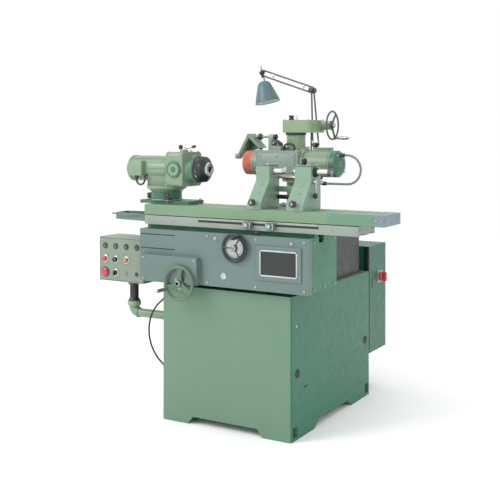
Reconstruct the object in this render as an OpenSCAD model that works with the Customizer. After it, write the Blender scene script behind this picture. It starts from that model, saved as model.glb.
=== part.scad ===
// Tool grinding machine: a cabinet base, a cross slide with a long swivelling table,
// a work head and two tailstocks on the table, and a wheel head on a round column behind.
// +X runs along the table to the right, +Y goes from the front to the back, +Z is up.
// The origin is on the floor, in the middle of the four anchor holes.

/* [Base cabinet] */
// Width of the base cabinet
base_w = 620; // [600:1:640]
// Depth of the base cabinet, front to back
base_d = 790; // [780:1:810]
// Height of the base cabinet
base_h = 575; // [560:1:590]
// Radius of the cabinet's upright edges
base_edge_r = 10; // [6:1:16]
// Height of the cut-outs between the feet
foot_cut_h = 32; // [24:1:40]
// Width of each foot, seen from the front
foot_w = 130; // [110:1:140]
// Length of each foot, seen from the side
foot_l = 205; // [180:1:230]
// Radius of the anchor holes
anchor_r = 8; // [6:0.5:10]
// Radius of the crane-bar holes in the sides
lift_hole_r = 15; // [12:0.5:18]

/* [Rear cabinet] */
// Width of the electrical cabinet on the back
elec_w = 460; // [420:1:490]
// Depth of the electrical cabinet
elec_d = 185; // [160:1:210]
// Height of its lower edge above the floor
elec_z = 188; // [170:1:210]
// Height of the electrical cabinet
elec_h = 500; // [460:1:540]
// Thickness of its walls
elec_wall = 4; // [3:0.5:6]

/* [Cross slide] */
// Width of the cross slide and of its front apron
saddle_w = 806; // [790:1:820]
// Length of the cross slide, front to back
saddle_l = 226; // [220:1:240]
// Height of the cross slide
saddle_h = 215; // [205:1:225]
// Thickness of the front apron
apron_t = 30; // [24:1:36]
// Gap between the cabinet and the cross slide
saddle_gap = 22; // [20:1:24]
// Radius of the cross-feed screw
cross_screw_r = 9; // [8:0.5:10]

/* [Tables] */
// Length of the lower table
lower_l = 996; // [960:1:1020]
// Thickness of the lower table
lower_h = 38; // [34:1:42]
// Length of the upper, swivelling table
upper_l = 1104; // [1060:1:1130]
// Thickness of the upper table
upper_h = 44; // [40:1:48]
// Width of both tables
table_w = 165; // [155:1:170]
// Width of the T-slot's mouth
slot_w = 14; // [12:1:16]

/* [Rack drive] */
// Gear module of the table rack and its pinion
gear_m = 2.5; // [2.4:0.05:2.6]
// Teeth on the pinion
pinion_teeth = 32; // [32:1:32]
// Outer radius of the table handwheel
table_wheel_r = 60; // [54:1:66]
// Outer radius of the cross-feed handwheel
cross_wheel_r = 74; // [68:1:80]

/* [Work head and tailstocks] */
// Height of the centres above the upper table
centre_h = 150; // [146:1:156]
// Radius of the work head's motor
work_motor_r = 56; // [50:1:60]
// Length of the work head's motor
work_motor_l = 225; // [200:1:240]
// Radius of the work spindle
work_spindle_r = 22; // [18:1:26]
// Radius of the nose on the work spindle
nose_r = 56; // [50:1:58]
// Width of the left tailstock
left_tail_w = 62; // [54:1:66]
// Width of the right tailstock
right_tail_w = 74; // [66:1:78]
// Radius of the tailstock's quill
quill_r = 13; // [11:0.5:15]

/* [Column] */
// Radius of the round column
column_r = 42; // [38:1:45]
// Height of the column's top above the cabinet
column_top = 647; // [635:1:660]
// Radius of the elevating screw
lift_screw_r = 10; // [8:0.5:11]
// Outer radius of the elevating handwheel
lift_wheel_r = 68; // [60:1:74]

/* [Wheel head] */
// Radius of the grinding wheel
wheel_r = 54; // [45:1:56]
// Thickness of the grinding wheel
wheel_t = 42; // [30:1:44]
// Radius of the wheel spindle
wheel_spindle_r = 16; // [14:1:20]
// Radius of the wheel motor
wheel_motor_r = 55; // [50:1:58]
// Length of the wheel motor
wheel_motor_l = 126; // [120:1:150]

/* [Lamp] */
// Length of the lamp's lower arm
lamp_lower_l = 262; // [240:1:280]
// Length of the lamp's upper arm
lamp_upper_l = 292; // [270:1:310]
// Radius of the shade's mouth
shade_r = 62; // [55:1:66]
// Height of the shade
shade_h = 105; // [96:1:112]

/* [Control box] */
// Width of the control box
panel_w = 250; // [240:1:254]
// Depth of the control box
panel_d = 140; // [130:1:144]
// Height of the control box
panel_h = 195; // [180:1:205]
// Radius of the tube that carries it
panel_tube_r = 20; // [18:1:22]
// Radius of a push button's cap
button_r = 11; // [9:0.5:12]

/* [Fits] */
// Radial clearance of shafts and sliding sleeves
fit_gap = 0.05; // [0.02:0.01:0.08]
// Clearance between slides and their ways
slide_gap = 0.3; // [0.2:0.05:0.4]

/* [Hidden] */
$fn = 48;
hull_fn = 24;
over = 1;              // how far a cut runs past the face it opens
seat = 0.3;            // gap at a seat between pieces of different bodies
shoulder_gap = 2;      // gap between a turning shoulder and the face beside it

// Colours
green = [0.49, 0.66, 0.55];
dark_green = [0.30, 0.53, 0.43];
slate = [0.50, 0.58, 0.58];
steel = [0.70, 0.72, 0.72];
black = [0.10, 0.11, 0.12];

// Cabinet
foot_slope = 25;       // run of the sloped end of a foot's cut-out, front
foot_slope_side = 44;  // the same on the sides
pocket_w = 42;         // width of the bolt pocket in each foot
pocket_h = 44;
pocket_floor = 12;     // thickness of the flange under the bolt pocket
pocket_depth = 62;
anchor_inset = 34;     // from the side face to the anchor hole
anchor_inset_y = 34;   // from the front or back face to the anchor hole
lift_hole_z = 263;     // height of the crane-bar holes
lift_hole_inset = 54;  // from the front or back face
lift_hole_depth = 40;
plug_t = 10;           // thickness of a plug's shank
plug_rim = 3;          // how far a plug's rim stands out
plug_head_t = 2.5;

// Levels, from the floor up
saddle_z = base_h + saddle_gap;
saddle_top = saddle_z + saddle_h;
lower_gap = 17;                        // height of the table ways above the cross slide
lower_z = saddle_top + lower_gap;
upper_gap = 3;                         // height of the swivel plate between the tables
upper_z = lower_z + lower_h + upper_gap;
table_top = upper_z + upper_h;
centre_z = table_top + centre_h;
column_z = base_h + column_top;

// Lines across the machine
front_y = -base_d / 2;
table_back = 5;         // how far the tables stand in front of the saddle
table_y0 = front_y - table_back;                // front edge of the tables
table_y1 = table_y0 + table_w;
table_mid_y = table_y0 + table_w / 2;
centre_in = 52;          // from the tables' back edge to the centres
centre_y = table_y1 - centre_in;              // line through the work spindle and the centres
saddle_y0 = table_y0;
saddle_y1 = saddle_y0 + saddle_l;
apron_y = saddle_y0 - apron_t;
saddle_x = saddle_w / 2;

// Ways of the cross slide, on top of the cabinet
way_x = 130;                           // from the middle to each way
way_w = 50;
way_h = 46;
saddle_travel = 60;                    // each way from rest
way_margin = 5;
way_y0 = saddle_y0 + saddle_travel + way_margin;
way_y1 = 30;                           // rear end of the ways
nut_x = -175;                          // line of the cross-feed screw
nut_w = 50;
nut_h = 56;
nut_y = -75;
nut_l = 42;
cross_screw_rise = 25;   // from the cabinet's top to the cross-feed screw
cross_screw_z = base_h + cross_screw_rise;
cross_boss_r = 22;
cross_screw_end = 15;                  // rear end of the screw

// Pedestal and column
column_x = 70;
column_y = 110;
pedestal_w = 300;
pedestal_y0 = 42;
pedestal_h = 250;
pedestal_taper = 46;                   // height of the sloped shoulders
pedestal_boss_r = 76;
pedestal_boss_h = 74;
pedestal_top = base_h + pedestal_h;
boss_top = pedestal_top + pedestal_boss_h;
column_socket = 40;
collar_r = 47;                         // dark collar under the top arm
collar_h = 11;
screw_back = 75;         // from the column to the elevating screw
screw_y = column_y + screw_back;               // line of the elevating screw
screw_foot_h = 26;
screw_foot_w = 44;

// Top arm with the bevel gears
arm_h = 57;
arm_left = 47;           // how far the top arm reaches from the column or the screw
arm_right = 92;
arm_front = 48;
arm_back = 40;
arm_x0 = column_x - arm_left;
arm_x1 = column_x + arm_right;
arm_y0 = column_y - arm_front;
arm_y1 = screw_y + arm_back;
arm_wall = 8;
arm_edge_r = 12;
arm_z = column_z;
hand_rise = 33;          // from the arm's underside to the handwheel's shaft
hand_z = arm_z + hand_rise;                   // height of the handwheel's shaft
hub_l = 42;
hub_r0 = 24;
hub_r1 = 19;
bevel_r = 15;                          // pitch radius of both bevel gears
bevel_w = 8;
bevel_gap = 0.6;
shaft_r = 8;

// Handwheels
rim_r = 6;
grip_l = 62;
grip_r = 8;
wheel_hub_r = 17;
wheel_hub_l = 26;
spoke_r = 5;

// Rack and pinion
pinion_r = gear_m * pinion_teeth / 2;  // pitch radius
pinion_w = 26;
pinion_x = 79;
rack_y = table_mid_y;
rack_room = 7;                         // free space round the rack and its pinion
rack_h = 33;
tooth_share = 0.47;                    // tooth thickness as a share of the pitch
tip_share = 0.9;                       // tooth height above the pitch line, in modules
root_share = 1.25;                     // tooth depth below it, in modules
rack_pitch_z = lower_z - rack_h + gear_m * root_share;
pinion_z = rack_pitch_z - pinion_r;
rack_l = 620;
rack_teeth = floor(rack_l / (PI * gear_m) / 2) * 2;

// Tables
lower_x0 = -400;                       // left end of the lower table
upper_x0 = -402;
table_pivot_x = upper_x0 + upper_l / 2;
rail_w = 30;                           // guide rails on the cross slide
rail_inset = 26;
rail_rise = 9;                         // how far a rail enters the table
dog_slot_h = 9;
dog_slot_d = 10;
dog_slot_x0 = -125;
dog_slot_x1 = 432;
dog_w = 36;
dog_gap = 105;                         // spacing of the two trip dogs
dog_x = 102;
dog_t = 20;
dog_h = 26;
t_slot_h = 11;
t_slot_w = 24;
t_slot_mouth = 12;
pivot_r = 22;                          // swivel pin between the tables
pivot_h = 18;
block_l = 46;                          // grey block on the upper table's right end
edge_cut = 5;                          // chamfer along the table's edges
tray_l = 189;
tray_h = 30;
tray_end_w = 86;
tray_root_w = 140;
tray_wall = 4;

// Apron, plate and feed box
plate_x0 = 195;
plate_x1 = 351;
plate_z0 = 64;                         // above the apron's lower edge
plate_h = 92;
plate_t = 2.4;
plate_recess = 3;
frame_w = 22;
frame_t = 5;
feed_x0 = -378;
feed_x1 = -96;
feed_h = 113;
feed_t = 26;
gap_line = 4;                          // width of the two dark grooves at the apron's left end
groove_z = [788, 729];                 // their heights above the floor
groove_x1 = -222;                      // their right ends
apron_drop = 3;                        // how far the apron hangs below the cross slide
stop_x = 165;
stop_r = 9;
bellows_w = 570;
bellows_t = 15;
bellows_folds = 12;
bellows_top = pedestal_top - pedestal_taper;
guard_t = 3;                           // sheet of the fixed way guards
guard_y1 = 330;

// Work head
work_x = -365;                         // axis of the work head's swivel
work_base_r = 67;
work_base_h = 50;
work_base_x1 = -208;                   // right end of the plate under the work head
work_plate_h = 14;
base_half = 60;
work_flange_r = 87;
work_flange_h = 11;
cradle_w = 92;
cradle_x0 = -436;
head_x0 = -318;
head_x1 = -232;
head_half = 74;                        // half the height of the spindle block
head_edge_r = 16;
ring_t = 37;
ring_r = 60;
nose_l = 56;
nose_taper_share = 0.72;
spindle_bore_r = 12;                   // through the hollow work spindle and its nose
tilt_pin_r = 14;
index_disc_r = 34;
index_disc_t = 8;

// Tailstocks
left_tail_x = 108;
right_tail_x = 286;
tail_foot_h = 20;
tail_top_d = 66;
tail_head_h = 38;                      // from the centre line down to the slope
tail_cap_h = 21;                       // from the centre line up to the top
centre_point_l = 22;
left_reach = 42;                       // how far the left centre stands out
right_reach = 14;                      // how far the quill stands out
knob_r = 15;
knob_l = 24;
quill_l = 150;

// Wheel head
spindle_y = 0;
spindle_rise = 23;      // from the centres to the grinding spindle
spindle_z = centre_z + spindle_rise;
sleeve_r = 50;
sleeve_rise = 101;      // from the boss to the lifting sleeve
sleeve_z = boss_top + sleeve_rise;
sleeve_h = 158;
ring_wall = 13;
head_h = 112;
head_front = -70;
wh_x0 = -36;
wh_x1 = 170;
collar_l = 36;
collar_big_r = 57;
motor_x = wh_x1;
motor_flange_t = 14;
motor_flange_r = 62;
cover_l = 34;
cable_r = 5;
lug_w = 46;
lug_drop = 34;                         // how far the nut hangs below the sleeve

// Lamp
lamp_x = 77;
lamp_y = 300;
lamp_rise = 320;                       // from the pedestal's top to the top of the lamp's post
lamp_z = pedestal_top + lamp_rise;
lamp_post_r = 11;
lamp_rod_r = 4;
lamp_gap = 30;                         // spacing of each arm's two rods
upper_rod_z = 13;                      // from the upper arm's middle to each of its rods
lamp_close = 2;                        // degrees by which the lower rods close in
lamp_eye_r = 15;
lamp_eye_t = 10;
lamp_foot_w = 40;                      // width of the lower arm's foot
lamp_lower_lean = 3.5;                 // degrees to the left
lamp_upper_rise = 18.6;                // degrees above level
shade_tilt = 13;
shade_wall = 1.6;
shade_neck_r = 10;
shade_neck_gap = 11;                   // from the joint's eye down to the neck
shade_neck_h = 44;
shade_top_r = 33;
bulb_r = 24;

// Control box
panel_x1 = -440;                       // right side of the box
panel_drop = 39;        // from the cross slide's underside to the control box's
panel_z = saddle_z - panel_drop;
cross_grip_angle = 205; // where the cross-feed wheel's grip stands
tube_in = 105;         // from the control box's right end to its tube
tube_x = panel_x1 - tube_in;
tube_back = 110;        // from the cross slide's front to the tube
tube_y = front_y + tube_back;
panel_y0 = tube_y - panel_d / 2;
panel_edge_r = 6;
pipe_r = 19;
pipe_bend_r = 30;
pipe_drop = 143;       // from the control box's underside to the elbow pipe
pipe_z = panel_z - pipe_drop;
socket_r = 26;
socket_h = 22;

module slab(lo, hi) { translate(lo) cube(hi - lo); }

module rod_x(x0, x1, y, z, r) { translate([x0, y, z]) rotate([0, 90, 0]) cylinder(h = x1 - x0, r = r); }

module rod_y(y0, y1, x, z, r) { translate([x, y0, z]) rotate([-90, 0, 0]) cylinder(h = y1 - y0, r = r); }

module rod_z(z0, z1, x, y, r) { translate([x, y, z0]) cylinder(h = z1 - z0, r = r); }

// A rectangle with round corners, from its lower left corner
module round_rect(w, h, r) {
    translate([r, 0]) square([w - 2 * r, h]);
    translate([0, r]) square([w, h - 2 * r]);
    for (x = [r, w - r], y = [r, h - r]) translate([x, y]) circle(r = r);
}

// A block with round upright edges
module round_block(lo, hi, r) {
    translate(lo) linear_extrude(hi.z - lo.z) round_rect(hi.x - lo.x, hi.y - lo.y, r);
}

// A profile drawn in X and Z, pushed along Y
module push_y(y0, y1) { translate([0, y1, 0]) rotate([90, 0, 0]) linear_extrude(y1 - y0) children(); }

// A profile drawn in Y and Z, pushed along X
module push_x(x0, x1) {
    translate([x0, 0, 0]) rotate([90, 0, 90]) linear_extrude(x1 - x0) children();
}

// The cut-out under one side, drawn across its width
module foot_cut(half, slope) {
    polygon([[-half, -over], [-half, 0], [slope - half, foot_cut_h],
             [half - slope, foot_cut_h], [half, 0], [half, -over]]);
}

module base_cabinet() {
    half_w = base_w / 2;
    half_d = base_d / 2;
    color(green) difference() {
        union() {
            round_block([-half_w, -half_d, 0], [half_w, half_d, base_h], base_edge_r);
            for (side = [-1, 1])
                slab([side * way_x - way_w / 2, way_y0, base_h - over],
                     [side * way_x + way_w / 2, way_y1, base_h + way_h]);
            slab([nut_x - nut_w / 2, nut_y, base_h - over],
                 [nut_x + nut_w / 2, nut_y + nut_l, base_h + nut_h]);
        }
        push_y(-half_d - over, half_d + over) foot_cut(half_w - foot_w, foot_slope);
        push_x(-half_w - over, half_w + over) foot_cut(half_d - foot_l, foot_slope_side);
        for (side = [-1, 1], end = [-1, 1]) {
            pocket_y = end * (half_d - anchor_inset_y);
            slab([side > 0 ? half_w - pocket_depth : -half_w - over, pocket_y - pocket_w / 2, pocket_floor],
                 [side > 0 ? half_w + over : pocket_depth - half_w, pocket_y + pocket_w / 2,
                  pocket_floor + pocket_h]);
            rod_z(-over, pocket_floor + over, side * (half_w - anchor_inset), pocket_y, anchor_r);
            hole_y = end * (half_d - lift_hole_inset);
            rod_x(side > 0 ? half_w - lift_hole_depth : -half_w - over,
                  side > 0 ? half_w + over : lift_hole_depth - half_w, hole_y, lift_hole_z, lift_hole_r);
        }
        rod_y(nut_y - over, nut_y + nut_l + over, nut_x, cross_screw_z, cross_screw_r + fit_gap);
    }
}

module lifting_plugs() {
    half_w = base_w / 2;
    color(black) for (side = [-1, 1], end = [-1, 1])
        translate([side * half_w, end * (base_d / 2 - lift_hole_inset), lift_hole_z])
            rotate([0, side * 90, 0]) {
                translate([0, 0, -plug_t]) cylinder(h = plug_t, r = lift_hole_r - fit_gap);
                cylinder(h = plug_head_t, r1 = lift_hole_r + plug_rim, r2 = lift_hole_r);
            }
}

elec_x1 = base_w / 2;
elec_x0 = elec_x1 - elec_w;
elec_y0 = base_d / 2;
elec_y1 = elec_y0 + elec_d;
elec_top = elec_z + elec_h;
door_t = 16;
door_skin = 3;
hinge_r = 7;
hinge_pin_r = 4;
hinge_l = 46;
hinge_in = 70;         // from the door's top and bottom to a hinge
hinge_x = elec_x0 - hinge_r - seat;
hinge_y = elec_y1 + door_t / 2;
back_plate_t = 4;
contactor = [46, 62, 78];
contactor_pitch = 58;
contactor_rows = 2;
contactor_count = 5;
din_h = 35;
din_t = 8;

module electrical_cabinet() {
    color(dark_green) {
        difference() {
            slab([elec_x0, elec_y0, elec_z], [elec_x1, elec_y1, elec_top]);
            slab([elec_x0 + elec_wall, elec_y0 + elec_wall, elec_z + elec_wall],
                 [elec_x1 - elec_wall, elec_y1 + over, elec_top - elec_wall]);
            rod_x(elec_x1 - elec_wall - over, elec_x1 + over,
                  isolator_y, isolator_z, isolator_shaft_r + fit_gap);
        }
        for (z = [elec_z + hinge_in, elec_top - hinge_in - hinge_l]) {
            slab([hinge_x - hinge_pin_r, elec_y1 - hinge_l / 2, z],
                 [elec_x0 + over / 2, elec_y1 - over, z + hinge_l / 2 - seat]);
            slab([hinge_x - hinge_pin_r, elec_y1 - hinge_pin_r / 2, z],
                 [hinge_x + hinge_pin_r, hinge_y, z + hinge_l / 2 - seat]);
            rod_z(z, z + hinge_l / 2 - seat, hinge_x, hinge_y, hinge_r);
            rod_z(z, z + hinge_l, hinge_x, hinge_y, hinge_pin_r);
        }
    }
    plate_y = elec_y0 + elec_wall;
    color(steel) for (row = [0:contactor_rows - 1]) {
        z = elec_z + elec_h * (1 + row) / (contactor_rows + 1);
        slab([elec_x0 + 2 * contactor.x, plate_y, z - din_h / 2],
             [elec_x1 - 2 * contactor.x, plate_y + din_t, z + din_h / 2]);
        for (i = [0:contactor_count - 1])
            translate([elec_x0 + elec_w / 2 + (i - (contactor_count - 1) / 2) * contactor_pitch
                       - contactor.x / 2, plate_y + din_t, z - contactor.z / 2]) cube(contactor);
    }
}

module cabinet_door() {
    color(dark_green) {
        difference() {
            slab([elec_x0, elec_y1 + seat, elec_z], [elec_x1, elec_y1 + door_t, elec_top]);
            slab([elec_x0 + 2 * door_t, elec_y1 - over, elec_z + 2 * door_t],
                 [elec_x1 - 2 * door_t, elec_y1 + door_t - door_skin, elec_top - 2 * door_t]);
        }
        for (z = [elec_z + hinge_in, elec_top - hinge_in - hinge_l]) difference() {
            union() {
                rod_z(z + hinge_l / 2, z + hinge_l, hinge_x, hinge_y, hinge_r);
                slab([hinge_x, hinge_y - hinge_pin_r, z + hinge_l / 2],
                     [elec_x0 + over, hinge_y + hinge_pin_r, z + hinge_l]);
            }
            rod_z(z + hinge_l / 2 - over, z + hinge_l + over, hinge_x, hinge_y, hinge_pin_r + fit_gap);
        }
        translate([elec_x1 - 3 * door_t, elec_y1 + door_t, (elec_z + elec_top) / 2])
            rotate([-90, 0, 0]) cylinder(h = door_t, r1 = door_t, r2 = door_t / 2);
    }
}

isolator_in = 55;      // from the cabinet's door side to the isolator
isolator_y = elec_y1 - isolator_in;
isolator_rise = 344;   // from the rear cabinet's floor to the isolator
isolator_z = elec_z + isolator_rise;
isolator_r = 22;
isolator_t = 9;
isolator_shaft_r = 5;
isolator_grip = [26, 9, 40];

module isolator_switch() {
    color("firebrick") translate([elec_x1 + seat, isolator_y, isolator_z]) {
        rotate([0, 90, 0]) cylinder(h = isolator_t, r = isolator_r);
        translate([isolator_t - over, -isolator_grip.y / 2, -isolator_grip.z / 2])
            cube([isolator_grip.x, isolator_grip.y, isolator_grip.z]);
        rotate([0, -90, 0]) cylinder(h = elec_wall * 2, r = isolator_shaft_r);
    }
}

module pedestal() {
    x0 = column_x - pedestal_w / 2;
    x1 = column_x + pedestal_w / 2;
    in = pedestal_taper;
    color(green) difference() {
        union() {
            push_y(pedestal_y0, base_d / 2 - base_edge_r)
                polygon([[x0, base_h], [x1, base_h], [x1, pedestal_top - in],
                         [x1 - in, pedestal_top], [x0 + in, pedestal_top], [x0, pedestal_top - in]]);
            rod_z(pedestal_top - over, boss_top, column_x, column_y, pedestal_boss_r);
            slab([column_x - screw_foot_w / 2, column_y, pedestal_top - over],
                 [column_x + screw_foot_w / 2, screw_y + screw_foot_w / 2, pedestal_top + screw_foot_h]);
        }
        rod_z(pedestal_top - column_socket, boss_top + over, column_x, column_y, column_r);
        rod_z(pedestal_top, boss_top + over, column_x, screw_y, lift_screw_r + fit_gap);
        rod_z(pedestal_top - column_socket, pedestal_top + over, lamp_x, lamp_y, lamp_post_r + fit_gap);
    }
    way_guards();
}

// Fixed folded covers beside the pedestal, in line with the bellows
module way_guards() {
    x1 = bellows_w / 2;
    color(black) for (side = [[-1, column_x - pedestal_w / 2], [1, column_x + pedestal_w / 2]]) {
        xa = min(side[0] * x1, side[1]);
        xb = max(side[0] * x1, side[1]);
        slab([xa, pedestal_y0, bellows_top - guard_t], [xb, guard_y1, bellows_top]);
        slab([side[0] > 0 ? xb - guard_t : xa, pedestal_y0, base_h],
             [side[0] > 0 ? xb : xa + guard_t, guard_y1, bellows_top]);
    }
}

module column() {
    color(green) rod_z(pedestal_top - column_socket, column_z, column_x, column_y, column_r);
    color(black) difference() {
        rod_z(column_z - collar_h, column_z, column_x, column_y, collar_r);
        rod_z(column_z - collar_h - over, column_z + over, column_x, column_y, column_r);
    }
}

oiler_r = 5;
oiler_h = 17;
oiler_cap_r = 8;
pin_r = 3.5;

module top_arm() {
    hub_x0 = arm_x1 - over;
    color(green) difference() {
        union() {
            round_block([arm_x0, arm_y0, arm_z], [arm_x1, arm_y1, arm_z + arm_h], arm_edge_r);
            translate([hub_x0, screw_y, hand_z]) rotate([0, 90, 0])
                cylinder(h = hub_l + over, r1 = hub_r0, r2 = hub_r1);
        }
        slab([column_x - bevel_r - arm_wall, screw_y - bevel_r - arm_wall / 2, arm_z + arm_wall],
             [arm_x1 - arm_wall, screw_y + bevel_r + arm_wall / 2, arm_z + arm_h - arm_wall]);
        rod_z(arm_z - over, arm_z + arm_wall + over, column_x, screw_y, lift_screw_r + fit_gap);
        rod_x(arm_x1 - arm_wall - over, arm_x1 + hub_l + over, screw_y, hand_z, shaft_r + fit_gap);
    }
    color(black) {
        rod_z(arm_z + arm_h, arm_z + arm_h + oiler_h, arm_x0 + 2 * arm_edge_r, column_y, oiler_r);
        rod_z(arm_z + arm_h + oiler_h, arm_z + arm_h + oiler_h + oiler_r, arm_x0 + 2 * arm_edge_r,
              column_y, oiler_cap_r);
    }
    color(steel) rod_z(arm_z + arm_h, arm_z + arm_h + oiler_h, column_x + pin_r, column_y, pin_r);
}

// The two bevel gears' pitch cones meet where the screw's axis crosses the handwheel's shaft
screw_hub_z = arm_z + arm_wall + seat;
bevel_back = bevel_r + bevel_gap;

module elevating_screw() {
    color(steel) {
        rod_z(pedestal_top + seat, hand_z - bevel_back, column_x, screw_y, lift_screw_r);
        rod_z(screw_hub_z, hand_z - bevel_back, column_x, screw_y, bevel_r);
        translate([column_x, screw_y, hand_z - bevel_back])
            cylinder(h = bevel_w, r1 = bevel_r, r2 = bevel_r - bevel_w);
    }
}

// A handwheel with a round rim, spokes, a hub and a crank grip. It turns about +Z at the origin,
// with its back face at z = 0 and its grip reaching up.
module handwheel(r, spokes, bore, grip_turn) {
    difference() {
        union() {
            translate([0, 0, wheel_hub_l / 2]) rotate_extrude() translate([r - rim_r, 0]) circle(r = rim_r);
            cylinder(h = wheel_hub_l, r = wheel_hub_r);
            for (i = [0:spokes - 1]) rotate(grip_turn + i * 360 / spokes)
                translate([wheel_hub_r - over, 0, wheel_hub_l / 2]) rotate([0, 90, 0])
                    cylinder(h = r - wheel_hub_r - rim_r, r = spoke_r);
            rotate(grip_turn) translate([r - rim_r, 0, wheel_hub_l / 2]) {
                cylinder(h = grip_l / 3, r = grip_r / 2);
                translate([0, 0, grip_l / 6]) cylinder(h = grip_l, r1 = grip_r * 3 / 4, r2 = grip_r);
            }
        }
        translate([0, 0, -over]) cylinder(h = wheel_hub_l + 2 * over, r = bore);
    }
}

// The handwheel on its shaft, with the pinion of the bevel pair at the shaft's inner end
module elevating_handwheel() {
    pinion_x1 = column_x + bevel_back;
    color(slate) translate([arm_x1 + hub_l + seat, screw_y, hand_z]) rotate([0, 90, 0])
        handwheel(lift_wheel_r, 3, shaft_r, 25);
    color(steel) {
        rod_x(pinion_x1, arm_x1 + hub_l + wheel_hub_l, screw_y, hand_z, shaft_r);
        rod_x(pinion_x1, arm_x1 - arm_wall - seat, screw_y, hand_z, bevel_r);
        translate([pinion_x1 - bevel_w, screw_y, hand_z]) rotate([0, 90, 0])
            cylinder(h = bevel_w, r1 = bevel_r - bevel_w, r2 = bevel_r);
    }
}

// The cavity round the pinion, and the channel of the rack, inside the cross slide
module drive_room() {
    half = pinion_w / 2 + rack_room;
    slab([pinion_x - pinion_r - rack_room, rack_y - half, pinion_z - pinion_r - rack_room],
         [pinion_x + pinion_r + rack_room, rack_y + half, saddle_top + over]);
    slab([-saddle_x - over, rack_y - half, lower_z - rack_h - rack_room],
         [saddle_x + over, rack_y + half, saddle_top + over]);
    rod_y(saddle_y0 - over, rack_y + 2 * half, pinion_x, pinion_z, shaft_r + fit_gap);
}

// The grooves for the ways and for the cross-feed screw
module way_room() {
    for (side = [-1, 1])
        slab([side * way_x - way_w / 2 - slide_gap, saddle_y0 - over, saddle_z - over],
             [side * way_x + way_w / 2 + slide_gap, saddle_y1 + over, base_h + way_h + slide_gap]);
    slab([nut_x - cross_screw_r - rack_room, saddle_y0 - over, saddle_z - over],
         [nut_x + cross_screw_r + rack_room, saddle_y1 + over, cross_screw_z + cross_screw_r + rack_room]);
}

module saddle() {
    color(green) difference() {
        union() {
            slab([-saddle_x, saddle_y0, saddle_z], [saddle_x, saddle_y1, saddle_top]);
            for (y = [table_y0 + rail_inset, table_y1 - rail_inset - rail_w])
                slab([-saddle_x, y, saddle_top - over], [saddle_x, y + rail_w, lower_z + rail_rise]);
        }
        drive_room();
        way_room();
    }
}

stop_y = apron_y + apron_t / 2;
stop_drop = 40;        // how far the stop reaches into the cross slide
stop_z = saddle_top - stop_drop;
stop_head = 17;

module stop_plunger() {
    color(black) {
        rod_z(stop_z, saddle_top + seat, stop_x, stop_y, stop_r / 2);
        rod_z(saddle_top + seat, saddle_top + stop_head, stop_x, stop_y, stop_r);
    }
}

module apron() {
    z0 = saddle_z - apron_drop;
    color(slate) difference() {
        union() {
            slab([-saddle_x, apron_y, z0], [saddle_x, saddle_y0, saddle_top]);
            slab([feed_x0, apron_y - feed_t, z0], [feed_x1, apron_y + over, z0 + feed_h]);
            slab([plate_x0 - frame_w, apron_y - frame_t, saddle_z + plate_z0 - frame_w],
                 [plate_x1 + frame_w, apron_y + over, saddle_z + plate_z0 + plate_h + frame_w]);
            rod_y(apron_y - feed_t, saddle_y0, nut_x, cross_screw_z, cross_boss_r);
        }
        slab([plate_x0, apron_y - frame_t - over, saddle_z + plate_z0],
             [plate_x1, apron_y - frame_t + plate_recess, saddle_z + plate_z0 + plate_h]);
        rod_y(apron_y - frame_t - over, saddle_y0 + over, pinion_x, pinion_z, shaft_r + fit_gap);
        rod_y(apron_y - feed_t - over, saddle_y0 + over, nut_x, cross_screw_z, cross_screw_r + fit_gap);
        rod_z(stop_z - over, saddle_top + over, stop_x, stop_y, stop_r / 2 + fit_gap);
        for (z = groove_z)
            slab([-saddle_x - over, apron_y - over, z], [groove_x1, apron_y + gap_line, z + gap_line]);
    }
}

module blank_plate() {
    rivet = plate_t;
    y = apron_y - frame_t + plate_recess;
    color(black) {
        slab([plate_x0 + seat, y - plate_t, saddle_z + plate_z0 + seat],
             [plate_x1 - seat, y, saddle_z + plate_z0 + plate_h - seat]);
        for (x = [plate_x0 + 3 * rivet, plate_x1 - 3 * rivet],
             z = [saddle_z + plate_z0 + 3 * rivet, saddle_z + plate_z0 + plate_h - 3 * rivet])
            rod_y(y - plate_t - rivet / 2, y, x, z, rivet);
    }
}

// A pleated cover over the ways, between the cross slide and the pedestal
module way_bellows() {
    y0 = saddle_y1;
    y1 = pedestal_y0 - seat;
    step = (y1 - y0) / bellows_folds;
    x = bellows_w / 2;
    outer = [for (i = [0:bellows_folds]) [y0 + i * step, i % 2 == 0 ? 0 : -bellows_t / 2]];
    inner = [for (i = [bellows_folds:-1:0])
        [y0 + i * step, (i % 2 == 0 ? 0 : -bellows_t / 2) - bellows_t / 2]];
    color(black) {
        push_x(-x, x) translate([0, bellows_top]) polygon(concat(outer, inner));
        for (side = [-1, 1])
            translate([side * x, 0, base_h + seat])
                linear_extrude(bellows_top - base_h - bellows_t / 2 - over)
                    polygon([for (p = concat(outer, inner)) [side * p[1], p[0]]]);
    }
}

module cross_handwheel() {
    color(slate) translate([nut_x, apron_y - feed_t - seat, cross_screw_z]) rotate([90, 0, 0])
        handwheel(cross_wheel_r, 3, cross_screw_r, cross_grip_angle);
}

module cross_screw() {
    y0 = apron_y - feed_t - wheel_hub_l - seat;
    color(steel) rod_y(y0, cross_screw_end, nut_x, cross_screw_z, cross_screw_r);
}

dial_r = 40;
dial_t = 14;

module table_handwheel() {
    color(slate) translate([pinion_x, apron_y - seat, pinion_z]) rotate([90, 0, 0]) {
        handwheel(table_wheel_r, 3, shaft_r, 60);
        difference() {
            cylinder(h = dial_t, r = dial_r);
            translate([0, 0, -over]) cylinder(h = dial_t + 2 * over, r = shaft_r);
        }
    }
}

// A point on the involute of a base circle, turned by a start angle
function involute(r, roll, start) = let (a = roll * 180 / PI)
    [r * (cos(a + start) + roll * sin(a + start)), r * (sin(a + start) - roll * cos(a + start))];

pressure = 20;
flank_steps = 5;

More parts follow.
